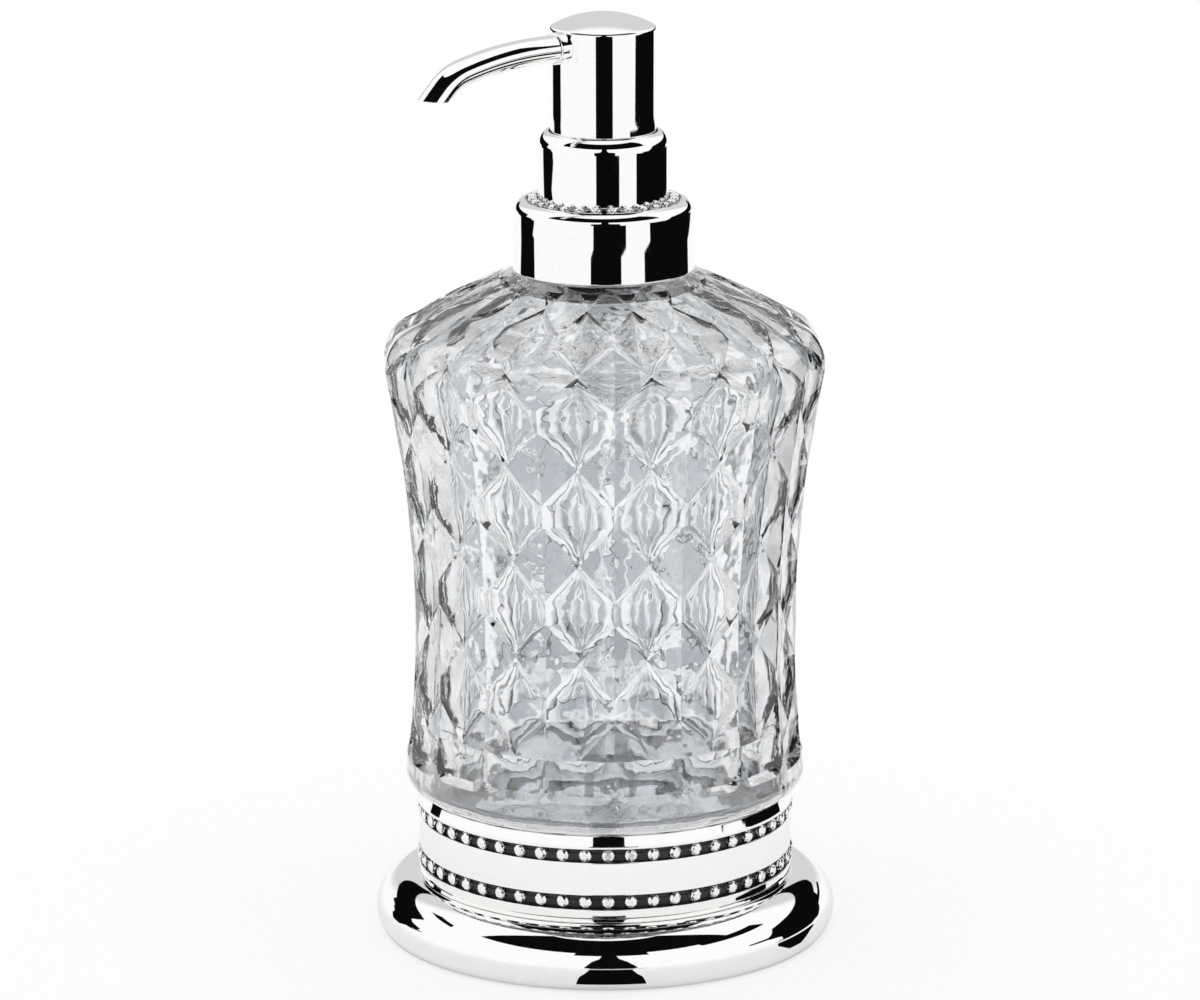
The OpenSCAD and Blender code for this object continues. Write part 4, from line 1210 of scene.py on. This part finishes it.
wall_card(
    "right_card",
    CARD_R,
    (0.0, 93, 126),
    (0.055, 93, 132),
    (0.074, 90, 134),
    (0.078, 88, 150),
    (0.097, 84, 150),
    (0.100, 72, 140),
    (0.128, 74, 142),
    (0.135, 86, 150),
    (0.16, 89, 155),
    (0.20, 93, 160),
    (0.247, 97, 168),
    (0.262, 112, 168),
)
wall_card(
    "left_card",
    CARD_R,
    (0.0, -125, -118),
    (0.046, -128, -112),
    (0.058, -128, -102),
    (0.066, -128, -108),
    (0.075, -128, -98),
    (0.080, -130, -103),
    (0.088, -132, -98),
    (0.098, -132, -104),
    (0.100, -138, -103),
    (0.128, -138, -103),
    (0.140, -150, -112),
    (0.16, -155, -115),
    (0.20, -162, -113),
    (0.247, -165, -112),
    (0.262, -165, -120),
)
# Painted shadow: a black sheet on the floor at the foot's front edge stands in for the contact
# shadow that the foot mirrors
floor_card(
    "front_painted_shadow_card",
    (0.050, -7.5, 10.5),
    (0.055, -7, 10),
    (0.060, -6, 9),
    (0.076, -5.5, 9),
    rise=SHADOW_CARD_RISE,
)
floor_card("lip_floor_card", (0.128, -8, 17), (0.15, -8, 17))
floor_card("far_floor_card", (0.16, -6, 12), (0.44, -8, 14))
floor_card("far_right_floor_card", (0.16, 80, 108), (0.44, 90, 122))
# Painted shadow: a black sheet on the floor at the foot's right edge stands in for the contact
# shadow that the foot mirrors
floor_card(
    "right_floor_card",
    (0.053, 58, 64),
    (0.056, 58, 70),
    (0.063, 60, 79),
    (0.072, 64, 88),
    rise=SHADOW_CARD_RISE,
)


def floor_material():
    """White paper that keeps the object's shadow; glass sees the world through it."""
    mat = bpy.data.materials.new("floor")
    add, link = bare_tree(mat)
    path = add("ShaderNodeLightPath")
    paper = add("ShaderNodeBsdfDiffuse")
    paper.inputs["Color"].default_value = (*PAPER, 1)
    white = add("ShaderNodeEmission")
    nothing = add("ShaderNodeBsdfTransparent")
    share = add("ShaderNodeMath")
    share.operation = "MULTIPLY"
    share.inputs[1].default_value = PAPER_GLOW
    seen = add("ShaderNodeMixShader")
    through = add("ShaderNodeMixShader")
    link(path.outputs["Is Camera Ray"], share.inputs[0])
    link(share.outputs[0], seen.inputs["Fac"])
    link(paper.outputs["BSDF"], seen.inputs[1])
    link(white.outputs["Emission"], seen.inputs[2])
    link(path.outputs["Is Transmission Ray"], through.inputs["Fac"])
    link(seen.outputs["Shader"], through.inputs[1])
    link(nothing.outputs["BSDF"], through.inputs[2])
    link(through.outputs["Shader"], add("ShaderNodeOutputMaterial").inputs["Surface"])
    return mat


def add_floor():
    """The paper floor on z = 0."""
    corners = ((-1, -1), (1, -1), (1, 1), (-1, 1))
    mesh = bpy.data.meshes.new("floor")
    verts = [(x * PAPER_HALF, y * PAPER_HALF, 0) for x, y in corners]
    mesh.from_pydata(verts, [], [[0, 1, 2, 3]])
    mesh.materials.append(floor_material())
    add_object("floor", mesh)


add_floor()


def build_world():
    """White all round; metal also mirrors a grey back wall, and glass shows tinted fields."""
    world = bpy.data.worlds.new("studio")
    bpy.context.scene.world = world
    add, link = bare_tree(world)
    coords = add("ShaderNodeTexCoord")
    path = add("ShaderNodeLightPath")

    def math_node(operation, a, b):
        """Result of an operation on numbers or sockets."""
        node = add("ShaderNodeMath")
        node.operation = operation
        for socket, value in zip(node.inputs, (a, b)):
            if isinstance(value, float):
                socket.default_value = value
            else:
                link(value, socket)
        return node.outputs[0]

    def cone(azimuth, elevation, outer, inner):
        """1 within the inner angle round a direction, falling to 0 at the outer angle."""
        facing = add("ShaderNodeVectorMath")
        facing.operation = "DOT_PRODUCT"
        link(coords.outputs["Generated"], facing.inputs[0])
        facing.inputs[1].default_value = direction(azimuth, elevation)
        step = add("ShaderNodeMapRange")
        step.interpolation_type = "SMOOTHSTEP"
        step.inputs["From Min"].default_value = math.cos(math.radians(outer))
        step.inputs["From Max"].default_value = math.cos(math.radians(inner))
        link(facing.outputs["Value"], step.inputs["Value"])
        return step.outputs["Result"]

    def mixed(share, a, b):
        """A colour that runs with a share from a to b, each a colour or a socket."""
        node = add("ShaderNodeMix")
        node.data_type = "RGBA"
        link(share, node.inputs["Factor"])
        for socket, value in ((node.inputs["A"], a), (node.inputs["B"], b)):
            if isinstance(value, tuple):
                socket.default_value = (*value, 1)
            else:
                link(value, socket)
        return node.outputs["Result"]

    back_wall = math_node("MULTIPLY", cone(180, 27, 34, 24), METAL_GREY)
    mirrored = math_node("MULTIPLY", path.outputs["Is Glossy Ray"], back_wall)
    glass_sees = mixed(cone(180, -21, 21, 4), WHITE, BEHIND_GLASS)
    glass_sees = mixed(cone(0, 30, 60, 40), glass_sees, BEFORE_GLASS)
    sky = add("ShaderNodeBackground")
    link(mixed(path.outputs["Is Transmission Ray"], WHITE, glass_sees), sky.inputs["Color"])
    link(math_node("SUBTRACT", 1.0, mirrored), sky.inputs["Strength"])
    link(sky.outputs["Background"], add("ShaderNodeOutputWorld").inputs["Surface"])


build_world()


def add_camera():
    """The photograph's view: 51 degrees round from the spout, a little above the pump."""
    data = bpy.data.cameras.new("camera")
    data.sensor_width = 36.0
    data.lens = CAMERA_LENS
    data.shift_x, data.shift_y = CAMERA_SHIFT
    data.clip_start = 0.05
    data.clip_end = 50.0
    camera = add_object("camera", data)
    camera.location = direction(0) * CAMERA_DISTANCE + Vector((0, 0, CAMERA_HEIGHT))
    look = -direction(0) * math.cos(CAMERA_PITCH) - Vector((0, 0, math.sin(CAMERA_PITCH)))
    turn = look.to_track_quat("-Z", "Y").to_matrix().to_4x4()
    camera.rotation_euler = (turn @ Matrix.Rotation(-CAMERA_ROLL, 4, "Z")).to_euler()
    bpy.context.scene.camera = camera


add_camera()
bpy.context.scene.view_settings.view_transform = "Standard"
